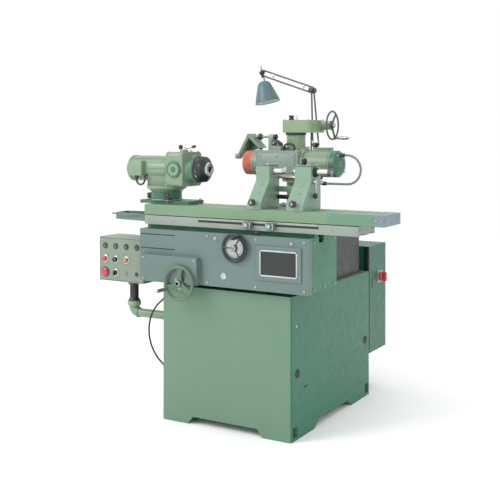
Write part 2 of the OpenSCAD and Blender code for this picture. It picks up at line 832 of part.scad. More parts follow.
// One spur gear outline, with involute flanks
function gear_outline(m, teeth) = let (
    rp = m * teeth / 2,
    rb = rp * cos(pressure),
    rt = rp + m * tip_share,
    rr = rp - m * root_share,
    inv_p = tan(pressure) * 180 / PI - pressure,
    half = tooth_share * 180 / teeth + inv_p,
    roll_max = sqrt(pow(rt / rb, 2) - 1)
) [for (i = [0:teeth - 1]) let (a = i * 360 / teeth) each concat(
    [[rr * cos(a - half), rr * sin(a - half)]],
    [for (k = [0:flank_steps]) let (p = involute(rb, roll_max * k / flank_steps, -half))
        [p.x * cos(a) - p.y * sin(a), p.x * sin(a) + p.y * cos(a)]],
    [for (k = [flank_steps:-1:0]) let (p = involute(rb, roll_max * k / flank_steps, -half))
        [p.x * cos(a) + p.y * sin(a), p.x * sin(a) - p.y * cos(a)]],
    [[rr * cos(a + half), rr * sin(a + half)]])];

module table_pinion() {
    color(steel) {
        difference() {
            push_y(rack_y - pinion_w / 2, rack_y + pinion_w / 2)
                translate([pinion_x, pinion_z]) rotate(90) polygon(gear_outline(gear_m, pinion_teeth));
            rod_y(rack_y - pinion_w, rack_y + pinion_w, pinion_x, pinion_z, shaft_r);
        }
        rod_y(apron_y - wheel_hub_l - seat, rack_y + pinion_w + 2 * rack_room - seat,
              pinion_x, pinion_z, shaft_r);
    }
}

module table_rack() {
    pitch = PI * gear_m;
    tip = gear_m * tip_share;
    root = gear_m * root_share;
    half = tooth_share * pitch / 2;
    slope = tan(pressure);
    x0 = pinion_x - rack_teeth * pitch / 2;
    color(steel) push_y(rack_y - pinion_w / 2, rack_y + pinion_w / 2)
        polygon(concat(
            [[x0, lower_z], [x0, rack_pitch_z + root]],
            [for (i = [0:rack_teeth - 1]) let (x = x0 + (i + 0.5) * pitch) each
                [[x - half - root * slope, rack_pitch_z + root],
                 [x - half + tip * slope, rack_pitch_z - tip],
                 [x + half - tip * slope, rack_pitch_z - tip],
                 [x + half + root * slope, rack_pitch_z + root]]],
            [[x0 + rack_teeth * pitch, rack_pitch_z + root], [x0 + rack_teeth * pitch, lower_z]]));
}

module lower_table() {
    x1 = lower_x0 + lower_l;
    top = lower_z + lower_h;
    color(slate) difference() {
        union() {
            slab([lower_x0, table_y0, lower_z], [x1, table_y1, top]);
            rod_z(top - over, top + upper_gap - slide_gap, table_pivot_x, table_mid_y, table_w / 3);
            rod_z(top, top + pivot_h, table_pivot_x, table_mid_y, pivot_r);
        }
        for (y = [table_y0 + rail_inset, table_y1 - rail_inset - rail_w])
            slab([lower_x0 - over, y - slide_gap, lower_z - over],
                 [x1 + over, y + rail_w + slide_gap, lower_z + rail_rise + slide_gap]);
        slab([dog_slot_x0, table_y0 - over, top - 2 * dog_slot_h],
             [dog_slot_x1, table_y0 + dog_slot_d, top - dog_slot_h]);
    }
}

module trip_dogs() {
    top = lower_z + lower_h;
    color(slate) for (x = [dog_x, dog_x + dog_gap]) {
        slab([x, table_y0 - dog_t, top - 2 * dog_slot_h - dog_h / 2], [x + dog_w, table_y0, top - dog_h / 8]);
        slab([x + dog_w / 4, table_y0 - over, top - 2 * dog_slot_h + seat],
             [x + dog_w * 3 / 4, table_y0 + dog_slot_d - seat, top - dog_slot_h - seat]);
        rod_y(table_y0 - dog_t - dog_w / 6, table_y0 - dog_t + over,
              x + dog_w / 2, top - dog_h / 2, dog_w / 6);
    }
}

module end_tray() {
    mid = table_mid_y;
    wall = tray_wall;
    x0 = lower_x0 - tray_l;
    color(slate) translate([0, 0, lower_z + rail_rise + slide_gap]) difference() {
        linear_extrude(tray_h) polygon([[x0, mid - tray_end_w / 2], [lower_x0, mid - tray_root_w / 2],
            [lower_x0, mid + tray_root_w / 2], [x0, mid + tray_end_w / 2]]);
        translate([0, 0, 2 * wall]) linear_extrude(tray_h) polygon([
            [x0 + wall, mid - tray_end_w / 2 + wall], [lower_x0 - wall, mid - tray_root_w / 2 + wall],
            [lower_x0 - wall, mid + tray_root_w / 2 - wall], [x0 + wall, mid + tray_end_w / 2 - wall]]);
    }
}

module upper_table() {
    x1 = upper_x0 + upper_l;
    slot_y = table_mid_y;
    color(green) difference() {
        union() {
            push_x(upper_x0, x1 - block_l) polygon([
                [table_y0, upper_z], [table_y1, upper_z], [table_y1, table_top - edge_cut],
                [table_y1 - edge_cut, table_top], [table_y0 + edge_cut, table_top],
                [table_y0, table_top - edge_cut]]);
            slab([x1 - block_l, table_y0, upper_z], [x1, table_y1, table_top]);
        }
        slab([upper_x0 - over, slot_y - slot_w / 2, table_top - t_slot_mouth],
             [x1 - block_l / 2, slot_y + slot_w / 2, table_top + over]);
        slab([upper_x0 - over, slot_y - t_slot_w / 2, table_top - t_slot_mouth - t_slot_h],
             [x1 - block_l / 2, slot_y + t_slot_w / 2, table_top - t_slot_mouth]);
        rod_z(upper_z - over, upper_z + pivot_h, table_pivot_x, table_mid_y, pivot_r + fit_gap);
    }
}

// One tailstock: a foot on the table and a body that leans back to the line of centres
module tailstock(x0, w) {
    z = table_top;
    back = table_y1 + over;
    top_y = centre_y - tail_top_d / 2;
    difference() {
        push_x(x0, x0 + w) polygon([
            [table_y0 + edge_cut, z], [back, z],
            [back, centre_z + tail_cap_h], [top_y, centre_z + tail_cap_h],
            [top_y, centre_z - tail_head_h], [table_y0 + edge_cut, z + tail_foot_h]]);
        rod_x(x0 - over, x0 + w + over, centre_y, centre_z, quill_r + fit_gap);
        rod_y(table_y0, table_y0 + knob_l + edge_cut, x0 + w / 2, z + tail_foot_h * 1.4, knob_r / 3);
    }
}

module left_tailstock() { color(green) tailstock(left_tail_x, left_tail_w); }

module right_tailstock() { color(green) tailstock(right_tail_x, right_tail_w); }

module left_centre() {
    x1 = left_tail_x + left_tail_w + left_reach;
    color(steel) {
        rod_x(left_tail_x - quill_r, x1, centre_y, centre_z, quill_r);
        translate([x1, centre_y, centre_z]) rotate([0, 90, 0])
            cylinder(h = centre_point_l, r1 = quill_r, r2 = 0);
    }
}

module tailstock_knobs() {
    color(black) for (t = [[left_tail_x, left_tail_w], [right_tail_x, right_tail_w]]) {
        z = table_top + tail_foot_h * 1.4;
        x = t[0] + t[1] / 2;
        rod_y(table_y0 + edge_cut - knob_l, table_y0 + edge_cut, x, z, knob_r);
        rod_y(table_y0, table_y0 + knob_l, x, z, knob_r / 3 - fit_gap);
    }
}

module quill() {
    x0 = right_tail_x - right_reach;
    color(steel) {
        rod_x(x0, x0 + quill_l, centre_y, centre_z, quill_r);
        translate([x0, centre_y, centre_z]) rotate([0, -90, 0])
            cylinder(h = centre_point_l, r1 = quill_r, r2 = 0);
    }
    color(black)
        rod_x(x0 + quill_l - over, x0 + quill_l + quill_r, centre_y, centre_z, quill_r + spoke_r / 2);
}

lever_r = 5;
lever_l = 58;
lever_x = right_tail_x + right_tail_w;
lever_z = centre_z - tail_head_h;

module quill_lever() {
    x0 = lever_x + seat;
    x1 = x0 + 2 * lever_r;
    y = centre_y - quill_r;
    color(black) {
        rod_x(x0, x1 + lever_r, y, lever_z, 2 * lever_r);
        rod_z(lever_z - lever_l, lever_z, x1, y, lever_r);
        translate([x1, y, lever_z - lever_l]) sphere(r = 2 * lever_r);
    }
}

module workhead_base() {
    z0 = table_top;
    color(green) {
        round_block([work_x - work_base_r - 2 * nut_r, centre_y - base_half, z0],
                    [work_base_x1, centre_y + base_half, z0 + work_plate_h], edge_cut);
        rod_z(z0 + work_plate_h - over, z0 + work_base_h, work_x, centre_y, work_base_r);
    }
}

nut_r = 18;
nut_t = 30;
nut_top_share = 0.8;   // how much a nut narrows to its top

module workhead_nuts() {
    z = table_top + work_plate_h;
    color(black) for (a = [180, -50]) translate([work_x, centre_y, z])
        rotate(a) translate([work_base_r + nut_r + seat, 0, 0])
            cylinder(h = nut_t, r1 = nut_r, r2 = nut_r * nut_top_share);
}

clamp_in = 20;         // from the head's right face to the clamp
clamp_rise = 8;        // from the head's top to the clamp's lever
clamp_x = head_x1 - clamp_in;
clamp_y = centre_y - head_half / 3;
clamp_z = centre_z + head_half + clamp_rise;

module clamp_lever() {
    color(black) {
        rod_z(clamp_z + seat, clamp_z + 3 * lever_r, clamp_x, clamp_y, 2 * lever_r);
        translate([clamp_x, clamp_y, clamp_z + 2 * lever_r]) rotate([0, 80, 0])
            cylinder(h = lever_l, r1 = lever_r, r2 = lever_r / 2);
    }
}

module workhead_housing() {
    y0 = centre_y - head_half;
    foot_z = table_top + work_base_h + seat;
    top_z = centre_z - head_half + over;
    color(green) difference() {
        union() {
            translate([head_x0, centre_y - head_half, centre_z - head_half]) rotate([90, 0, 90])
                linear_extrude(head_x1 - head_x0) round_rect(2 * head_half, 2 * head_half, head_edge_r);
            rod_x(head_x1 - over, head_x1 + ring_t, centre_y, centre_z, ring_r);
            rod_y(y0 - index_disc_t, y0 + over, (head_x0 + head_x1) / 2, centre_z, index_disc_r);
            translate([work_x, centre_y, foot_z])
                cylinder(h = top_z - work_flange_h - foot_z, r1 = work_base_r, r2 = work_flange_r);
            rod_z(top_z - work_flange_h, top_z, work_x, centre_y, work_flange_r);
            slab([cradle_x0, centre_y - cradle_w / 2, top_z - over],
                 [head_x0 + over, centre_y + cradle_w / 2, centre_z - work_motor_r / 2]);
            rod_z(clamp_z - head_edge_r, clamp_z, clamp_x, clamp_y, head_edge_r);
        }
        rod_x(cradle_x0 - over, head_x0, centre_y, centre_z, work_motor_r);
        rod_x(head_x0 - over, head_x1 + ring_t + over, centre_y, centre_z, work_spindle_r + fit_gap);
        rod_z(centre_z + head_half - plunger_l, centre_z + head_half + over,
              plunger_x, centre_y, plunger_r + fit_gap);
    }
}

plunger_in = 28;       // from the head's left face to the index plunger
plunger_x = head_x0 + plunger_in;
plunger_r = 5;
plunger_l = 30;
plunger_cap_h = 26;
plunger_cap_r = 9;

module index_plunger() {
    z = centre_z + head_half;
    color(black) {
        rod_z(z - plunger_l + plunger_r, z + plunger_cap_h, plunger_x, centre_y, plunger_r);
        rod_z(z + plunger_cap_h - plunger_r, z + plunger_cap_h + plunger_r,
              plunger_x, centre_y, plunger_cap_r);
    }
}

lid_w = 67;             // the terminal box on the work head's motor
lid_h = 62;

module workhead_motor() {
    x1 = head_x0;
    x0 = x1 - work_motor_l;
    r = work_motor_r;
    color(green) {
        translate([x0, 0, 0]) rod_x(over, work_motor_l, centre_y, centre_z, r);
        rod_x(x0 + over - r / 6, x0 + 2 * over, centre_y, centre_z, r * 0.8);
        slab([x0 + r / 2, centre_y - r - r / 3, centre_z - r / 2],
             [x0 + r / 2 + lid_w, centre_y - r / 2, centre_z - r / 2 + lid_h]);
    }
}

module work_spindle() {
    x1 = head_x1 + ring_t + shoulder_gap;
    color(steel) difference() {
        rod_x(head_x0 + seat, x1, centre_y, centre_z, work_spindle_r);
        rod_x(head_x0 - over, x1 + over, centre_y, centre_z, spindle_bore_r);
    }
}

module spindle_nose() {
    x0 = head_x1 + ring_t + shoulder_gap;
    color(black) translate([x0, centre_y, centre_z]) rotate([0, 90, 0]) rotate_extrude() polygon([
        [spindle_bore_r, 0], [nose_r, 0], [nose_r, nose_l / 3], [nose_r * nose_taper_share, nose_l * 2 / 3],
        [nose_r / 2, nose_l * 2 / 3], [nose_r / 2 - over, nose_l], [spindle_bore_r, nose_l]]);
}

module lift_sleeve() {
    z1 = sleeve_z + sleeve_h;
    z0 = sleeve_z - lug_drop;
    color(steel) difference() {
        union() {
            rod_z(sleeve_z, z1, column_x, column_y, sleeve_r);
            rod_z(sleeve_z, sleeve_z + ring_wall / 2, column_x, column_y, sleeve_r + ring_wall);
            slab([column_x - lug_w / 2, column_y + column_r, z0],
                 [column_x + lug_w / 2, screw_y + lug_w / 2, sleeve_z + ring_wall / 2]);
        }
        rod_z(z0 - over, z1 + over, column_x, column_y, column_r + fit_gap);
        rod_z(z0 - over, z1 + over, column_x, screw_y, lift_screw_r + fit_gap);
    }
}

guard_rod_y = 15;
guard_rod_rise = 116;  // from the grinding spindle to the guard's rod
guard_rod_z = spindle_z + guard_rod_rise;
guard_rod_r = 5;
clamp_w = 24;
clamp_x0 = -14;
bracket = [50, 34, 22];

module wheelhead() {
    z0 = sleeve_z + ring_wall / 2 + seat;
    z1 = sleeve_z + sleeve_h;
    top = spindle_z + head_h / 2;
    color(green) difference() {
        union() {
            rod_z(z0, z1, column_x, column_y, sleeve_r + ring_wall);
            slab([wh_x0, head_front, spindle_z - head_h / 2], [wh_x1, column_y - sleeve_r / 2, top]);
            rod_x(wh_x0 - collar_l, wh_x0 + over, spindle_y, spindle_z, collar_big_r);
            slab([clamp_x0, guard_rod_y - clamp_w / 2, top - over],
                 [clamp_x0 + clamp_w, guard_rod_y + clamp_w / 2, guard_rod_z]);
            rod_x(clamp_x0, clamp_x0 + clamp_w, guard_rod_y, guard_rod_z, clamp_w / 2);
            translate([clamp_x0 + clamp_w, guard_rod_y - bracket.y, top - over]) cube(bracket);
        }
        rod_x(clamp_x0 - over, clamp_x0 + clamp_w + over, guard_rod_y, guard_rod_z, guard_rod_r + fit_gap);
        rod_z(z0 - over, top + sleeve_h, column_x, column_y, sleeve_r + fit_gap);
        rod_x(wh_x0 - collar_l - over, wh_x1 + over, spindle_y, spindle_z, wheel_spindle_r + fit_gap);
    }
}

module wheel_motor() {
    x1 = motor_x + motor_flange_t + wheel_motor_l;
    color(green) difference() {
        union() {
            rod_x(motor_x, motor_x + motor_flange_t, spindle_y, spindle_z, motor_flange_r);
            rod_x(motor_x + motor_flange_t, x1, spindle_y, spindle_z, wheel_motor_r);
            slab([motor_x + motor_flange_t + wheel_motor_r / 2, spindle_y, spindle_z + wheel_motor_r / 2],
                 [x1 - wheel_motor_r / 2, spindle_y + wheel_motor_r, spindle_z + wheel_motor_r * 1.2]);
        }
        rod_x(motor_x - over, x1 - 2 * motor_flange_t, spindle_y, spindle_z, wheel_spindle_r + fit_gap);
    }
}

module motor_cover() {
    x0 = motor_x + motor_flange_t + wheel_motor_l;
    color(dark_green) {
        rod_x(x0, x0 + cover_l * 0.7, spindle_y, spindle_z, wheel_motor_r + spoke_r / 2);
        translate([x0 + cover_l * 0.7, spindle_y, spindle_z]) rotate([0, 90, 0])
            cylinder(h = cover_l * 0.3, r1 = wheel_motor_r + spoke_r / 2, r2 = wheel_motor_r * 0.85);
    }
}

// The motor's lead: a half loop from the cover back to the underside of the motor
cable_loop_r = 62;

module motor_cable() {
    x0 = motor_x + motor_flange_t + wheel_motor_l + cover_l;
    z_top = spindle_z + wheel_motor_r * 0.7;
    color(slate) {
        rod_x(x0, x0 + cable_r * 6, spindle_y, z_top, cable_r);
        translate([x0 + cable_r * 6, spindle_y, z_top - cable_loop_r]) rotate([90, 0, 0])
            rotate(-90) rotate_extrude(angle = 180) translate([cable_loop_r, 0]) circle(r = cable_r);
        rod_x(x0 - cover_l - wheel_motor_l / 2, x0 + cable_r * 6,
              spindle_y, z_top - 2 * cable_loop_r, cable_r);
        rod_z(z_top - 2 * cable_loop_r, spindle_z - wheel_motor_r, x0 - cover_l - wheel_motor_l / 2,
              spindle_y, cable_r);
    }
}

module wheel_spindle() {
    x0 = wh_x0 - collar_l - shoulder_gap;
    color(steel) {
        rod_x(x0 - wheel_t, motor_x + motor_flange_t, spindle_y, spindle_z, wheel_spindle_r);
        rod_x(x0 - wheel_t - spoke_r * 2, x0 - wheel_t, spindle_y, spindle_z, wheel_spindle_r * 1.5);
    }
}

module grinding_wheel() {
    x1 = wh_x0 - collar_l - shoulder_gap;
    color([0.86, 0.42, 0.33]) difference() {
        rod_x(x1 - wheel_t, x1, spindle_y, spindle_z, wheel_r);
        rod_x(x1 - wheel_t - over, x1 + over, spindle_y, spindle_z, wheel_spindle_r);
    }
}

hood_t = 12;           // width of the hood's folded edge
hood_web = 4;          // thickness of its back plate
hood_left_in = 11;     // width of its left leg, seen from the front
hood_y0 = -12;
hood_y1 = 42;
hood_top_rise = 14;    // the hood's corners, from the rod or the spindle
hood_left_rise = 22;
hood_right_rise = 66;
hood_top = [-108, guard_rod_z + hood_top_rise];
hood_left = [-172, spindle_z + hood_left_rise];
hood_right = [-42, spindle_z + hood_right_rise];

// A folded hood over the wheel, hung on a rod
module wheel_guard() {
    in = hood_t * 1.3;
    color(green) {
        push_y(hood_y0, hood_y1) polygon([
            hood_left, [hood_top.x - hood_t / 2, hood_top.y],
            [hood_top.x + hood_t / 2, hood_top.y], hood_right,
            [hood_right.x - in, hood_right.y], [hood_top.x, hood_top.y - 3 * hood_t / 2],
            [hood_left.x + hood_left_in, hood_left.y]]);
        push_y(hood_y1 - hood_web, hood_y1) polygon([
            [hood_left.x + hood_left_in / 2, hood_left.y + hood_t], [hood_top.x, hood_top.y - hood_t],
            [hood_right.x - hood_t, hood_right.y],
            [wh_x0 - collar_l - wheel_t / 2, hood_right.y - hood_t / 2]]);
    }
    color(steel)
        rod_x(hood_top.x, clamp_x0 + clamp_w + guard_rod_r, guard_rod_y, guard_rod_z, guard_rod_r);
}

module lamp_post() {
    color(black) {
        rod_z(pedestal_top - column_socket, lamp_z, lamp_x, lamp_y, lamp_post_r);
        rod_z(lamp_z - 2 * lamp_post_r, lamp_z, lamp_x, lamp_y, lamp_eye_r);
    }
}

lamp_elbow = [lamp_x - lamp_lower_l * sin(lamp_lower_lean), lamp_y,
              lamp_z + lamp_eye_r + lamp_lower_l * cos(lamp_lower_lean)];
lamp_tip = [lamp_elbow.x - lamp_upper_l * cos(lamp_upper_rise), lamp_y,
            lamp_elbow.z + lamp_upper_l * sin(lamp_upper_rise)];

module lamp_lower_arm() {
    color(steel) translate([lamp_x, lamp_y, lamp_z + lamp_eye_r + seat]) {
        rod_y(-lamp_eye_t / 2, lamp_eye_t / 2, 0, 0, lamp_eye_r);
        rotate([0, -lamp_lower_lean, 0]) {
            for (side = [-1, 1])
                translate([side * lamp_gap / 2, 0, lamp_eye_t / 2]) rotate([0, -side * lamp_close, 0])
                    cylinder(h = lamp_lower_l - lamp_eye_t, r = lamp_rod_r);
            slab([-lamp_foot_w / 2, -lamp_eye_t / 2, 0], [lamp_foot_w / 2, lamp_eye_t / 2, lamp_eye_t]);
            rod_y(-lamp_eye_t / 2, lamp_eye_t / 2, 0, lamp_lower_l, lamp_eye_r);
        }
    }
}

module lamp_upper_arm() {
    color(steel) translate(lamp_elbow) {
        rod_y(lamp_eye_t / 2 + seat, lamp_eye_t * 3 / 2, 0, 0, lamp_eye_r);
        rotate([0, lamp_upper_rise, 0]) {
            for (side = [-1, 1]) rod_x(-lamp_upper_l, 0, lamp_eye_t, side * upper_rod_z, lamp_rod_r);
            rod_y(lamp_eye_t / 2 + seat, lamp_eye_t * 3 / 2, -lamp_upper_l, 0, lamp_eye_r);
        }
    }
}

module lamp_shade() {
    color([0.42, 0.56, 0.60]) translate(lamp_tip) rotate([0, -shade_tilt, 0]) {
        rod_y(-lamp_eye_t / 2, lamp_eye_t / 2, 0, 0, lamp_eye_r * 0.7);
        slab([-lamp_eye_t / 2, -lamp_eye_t / 2, -lamp_eye_r - 2 * lamp_eye_t],
             [lamp_eye_t / 2, lamp_eye_t / 2, 0]);
        translate([0, 0, -shade_neck_h - over])
            cylinder(h = shade_neck_h + over - lamp_eye_r - shade_neck_gap, r = shade_neck_r);
        translate([0, 0, -shade_neck_h - shade_h]) rotate_extrude() polygon([
            [shade_r, 0], [shade_top_r, shade_h], [0, shade_h], [0, shade_h - shade_wall],
            [shade_top_r - shade_wall, shade_h - shade_wall], [shade_r - shade_wall, 0]]);
    }
}

module lamp_bulb() {
    color("white") translate(lamp_tip) rotate([0, -shade_tilt, 0])
        translate([0, 0, -shade_neck_h - shade_h * 0.5]) {
            sphere(r = bulb_r);
            cylinder(h = shade_h * 0.5 - shade_wall, r = bulb_r / 2);
        }
}

pipe_top = pipe_z + pipe_bend_r + socket_h; // where the socket of the box's tube ends
elbow_t = 4;                           // the elbow's wall, outside the pipe

module elbow_pipe() {
    x1 = -base_w / 2;
    color(green) {
        difference() {
            rod_z(pipe_top - socket_h, pipe_top, tube_x, tube_y, socket_r);
            rod_z(pipe_top - socket_h / 2, pipe_top + over, tube_x, tube_y, panel_tube_r + fit_gap);
        }
        translate([tube_x + pipe_bend_r, tube_y, pipe_z + pipe_bend_r]) rotate([90, 0, 0]) rotate(180)
            rotate_extrude(angle = 90) translate([pipe_bend_r, 0]) circle(r = pipe_r + elbow_t);
        rod_x(tube_x + pipe_bend_r, x1, tube_y, pipe_z, pipe_r);
        rod_x(x1 - socket_h / 3, x1, tube_y, pipe_z, socket_r + elbow_t);
    }
}

side_cable_r = 4;
side_cable_y = -365;
gland_r = 9;
gland_l = 12;
side_cable_z0 = 215;                   // where the cable enters the cabinet
side_cable_z1 = 513;                   // where it leaves
side_cable_out = 94;                   // how far it stands out from the cabinet

// A cable on the cabinet's left side, in one arc between two glands
module side_cable() {
    half = (side_cable_z1 - side_cable_z0) / 2;
    bend = (half * half + side_cable_out * side_cable_out) / (2 * side_cable_out);
    turn = asin(half / bend) - asin(gland_l / 2 / bend);
    x = -base_w / 2;
    color(black) {
        for (z = [side_cable_z0, side_cable_z1]) rod_x(x - gland_l, x, side_cable_y, z, gland_r);
        translate([x - side_cable_out + bend, side_cable_y, side_cable_z0 + half]) rotate([90, 0, 0])
            rotate(180 - turn) rotate_extrude(angle = 2 * turn) translate([bend, 0]) circle(r = side_cable_r);
    }
}

module control_box() {
    color(green) difference() {
        round_block([panel_x1 - panel_w, panel_y0, panel_z],
                    [panel_x1, panel_y0 + panel_d, panel_z + panel_h], panel_edge_r);
        for (c = [[0, 0], [1, 0], [0, 1], [1, 1], [2, 1]]) button_hole(c[0], c[1]);
    }
    color(black) rod_z(pipe_top - socket_h / 2 + seat, panel_z, tube_x, tube_y, panel_tube_r);
}

panel_cols = 4;
panel_rows = 3;
col_share = 0.6;       // where the first column and row sit, as shares of their pitch
row_share = 0.65;
grip_rise = 8;         // how far the selector's grip stands out
side_room_share = 0.25; // room beside the controls, as shares of their pitch
top_room_share = 0.3;
panel_dx = panel_w / (panel_cols + side_room_share);
panel_dz = panel_h / (panel_rows + top_room_share);
button_stem_r = 6;
button_travel = 4;
button_stem_l = 16;

// Where a control sits on the front of the box: its column from the left and row from below
function control_at(col, row) = [panel_x1 - panel_w + panel_dx * (col + col_share), panel_y0,
                                 panel_z + panel_dz * (row + row_share)];

module button_hole(col, row) {
    p = control_at(col, row);
    rod_y(p.y - over, p.y + button_stem_l + button_travel + seat, p.x, p.z, button_stem_r + fit_gap);
}

module push_button(col, row, r) {
    p = control_at(col, row);
    cap = button_travel * 2;
    rod_y(p.y - button_travel - cap - seat, p.y - button_travel - seat, p.x, p.z, r);
    rod_y(p.y - button_travel - seat - over, p.y + button_stem_l, p.x, p.z, button_stem_r);
}

module control_lamps() {
    for (col = [0:panel_cols - 1]) {
        p = control_at(col, 2);
        color(dark_green) rod_y(p.y - button_r / 2, p.y, p.x, p.z, button_r * 0.8);
    }
}

module push_button_left() { color("firebrick") push_button(0, 1, button_r); }

module push_button_middle() { color(black) push_button(1, 1, button_r); }

module push_button_right() { color("peru") push_button(2, 1, button_r); }

module selector_switch() {
    p = control_at(1, 0);
    color(black) {
        rod_y(p.y - button_r, p.y - seat, p.x, p.z, button_r);
        slab([p.x - button_r / 4, p.y - button_r - grip_rise, p.z - button_r],
             [p.x + button_r / 4, p.y - button_r + over, p.z + button_r]);
        rod_y(p.y - button_r, p.y + button_stem_l, p.x, p.z, button_stem_r);
    }
}

module emergency_stop() { color("red") push_button(0, 0, button_r * 1.7); }

base_cabinet();
lifting_plugs();
electrical_cabinet();
cabinet_door();
isolator_switch();
pedestal();
column();
top_arm();
elevating_screw();
elevating_handwheel();
saddle();
apron();
blank_plate();
way_bellows();
stop_plunger();
cross_handwheel();
cross_screw();
table_handwheel();
table_pinion();
lower_table();
table_rack();
trip_dogs();
end_tray();
upper_table();
left_tailstock();
right_tailstock();
left_centre();
tailstock_knobs();
quill();
quill_lever();
workhead_base();
workhead_nuts();
clamp_lever();
workhead_housing();
workhead_motor();
index_plunger();
work_spindle();
spindle_nose();
lift_sleeve();
wheelhead();
wheel_motor();
motor_cover();
motor_cable();
wheel_spindle();
grinding_wheel();
wheel_guard();
lamp_post();
lamp_lower_arm();
lamp_upper_arm();
lamp_shade();
lamp_bulb();
elbow_pipe();
side_cable();
control_box();
control_lamps();
push_button_left();
push_button_middle();
push_button_right();
selector_switch();
emergency_stop();
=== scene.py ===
"""The look of a universal tool grinding machine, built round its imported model.

Pieces are measured in millimetres and everything else in metres. +X runs along the table, +Y to the back, +Z up.
"""
import itertools
from math import asin, copysign, cos, degrees, pi, radians, sin

import bmesh
import bpy
from mathutils import Matrix, Vector


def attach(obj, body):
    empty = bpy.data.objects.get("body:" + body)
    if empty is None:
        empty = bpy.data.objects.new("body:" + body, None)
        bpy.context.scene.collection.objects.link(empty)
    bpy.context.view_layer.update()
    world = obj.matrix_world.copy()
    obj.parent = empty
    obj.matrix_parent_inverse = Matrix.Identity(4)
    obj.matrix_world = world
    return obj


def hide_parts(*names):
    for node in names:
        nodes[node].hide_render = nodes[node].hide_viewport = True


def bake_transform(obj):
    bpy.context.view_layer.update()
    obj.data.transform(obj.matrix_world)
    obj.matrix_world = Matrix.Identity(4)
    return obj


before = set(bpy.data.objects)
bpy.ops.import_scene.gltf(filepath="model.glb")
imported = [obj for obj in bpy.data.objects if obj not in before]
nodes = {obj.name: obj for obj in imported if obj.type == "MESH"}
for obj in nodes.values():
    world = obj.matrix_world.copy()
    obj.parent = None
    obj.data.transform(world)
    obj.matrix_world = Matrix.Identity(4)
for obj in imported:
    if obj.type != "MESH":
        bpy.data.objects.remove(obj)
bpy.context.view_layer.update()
MM = 0.001
RIGHT, LEFT, BACK, FRONT = (1, 0, 0), (-1, 0, 0), (0, 1, 0), (0, -1, 0)
UP, DOWN = (0, 0, 1), (0, 0, -1)

# Places on the machine, in millimetres
WORK_LINE = (0, -287, 1064)    # through the two centres
GRIND_LINE = (0, 0, 1087)      # through the grinding spindle
LIFT_SHAFT = (0, 185, 1255)    # through the elevating handwheel
PIPE = (-545, -285, 0)         # up the pipe below the control box
APRON = -430                   # the apron's front
FEED_BOX = -456                # the front of the box round the cross-feed screw
BOX_FACE = -355                # the control box's front
CAP_FOOT = -359.3              # the underside of a resting button's cap
POST = (77, 300, 0)            # up the lamp's post


def put(name, data):
    """An object in the scene."""
    thing = bpy.data.objects.new(name, data)
    bpy.context.scene.collection.objects.link(thing)
    return thing


# Camera: level, from the front right, with the picture shifted down as in the photograph

def aim_camera():
    lens = bpy.data.cameras.new("camera")
    lens.sensor_width = 36
    lens.lens = 64.81
    lens.shift_y = -0.2347
    lens.clip_end = 50
    camera = put("camera", lens)
    camera.location = (1.95065, -3.52978, 1.222)
    camera.rotation_euler = (radians(90), 0, radians(30.247))
    bpy.context.scene.camera = camera


aim_camera()


# Colours and material nodes

def linear(code):
    """An sRGB hex value as linear red, green, blue and a full alpha."""
    parts = [int(code[i:i + 2], 16) / 255 for i in (1, 3, 5)]
    return [p / 12.92 if p <= 0.04045 else ((p + 0.055) / 1.055) ** 2.4 for p in parts] + [1.0]


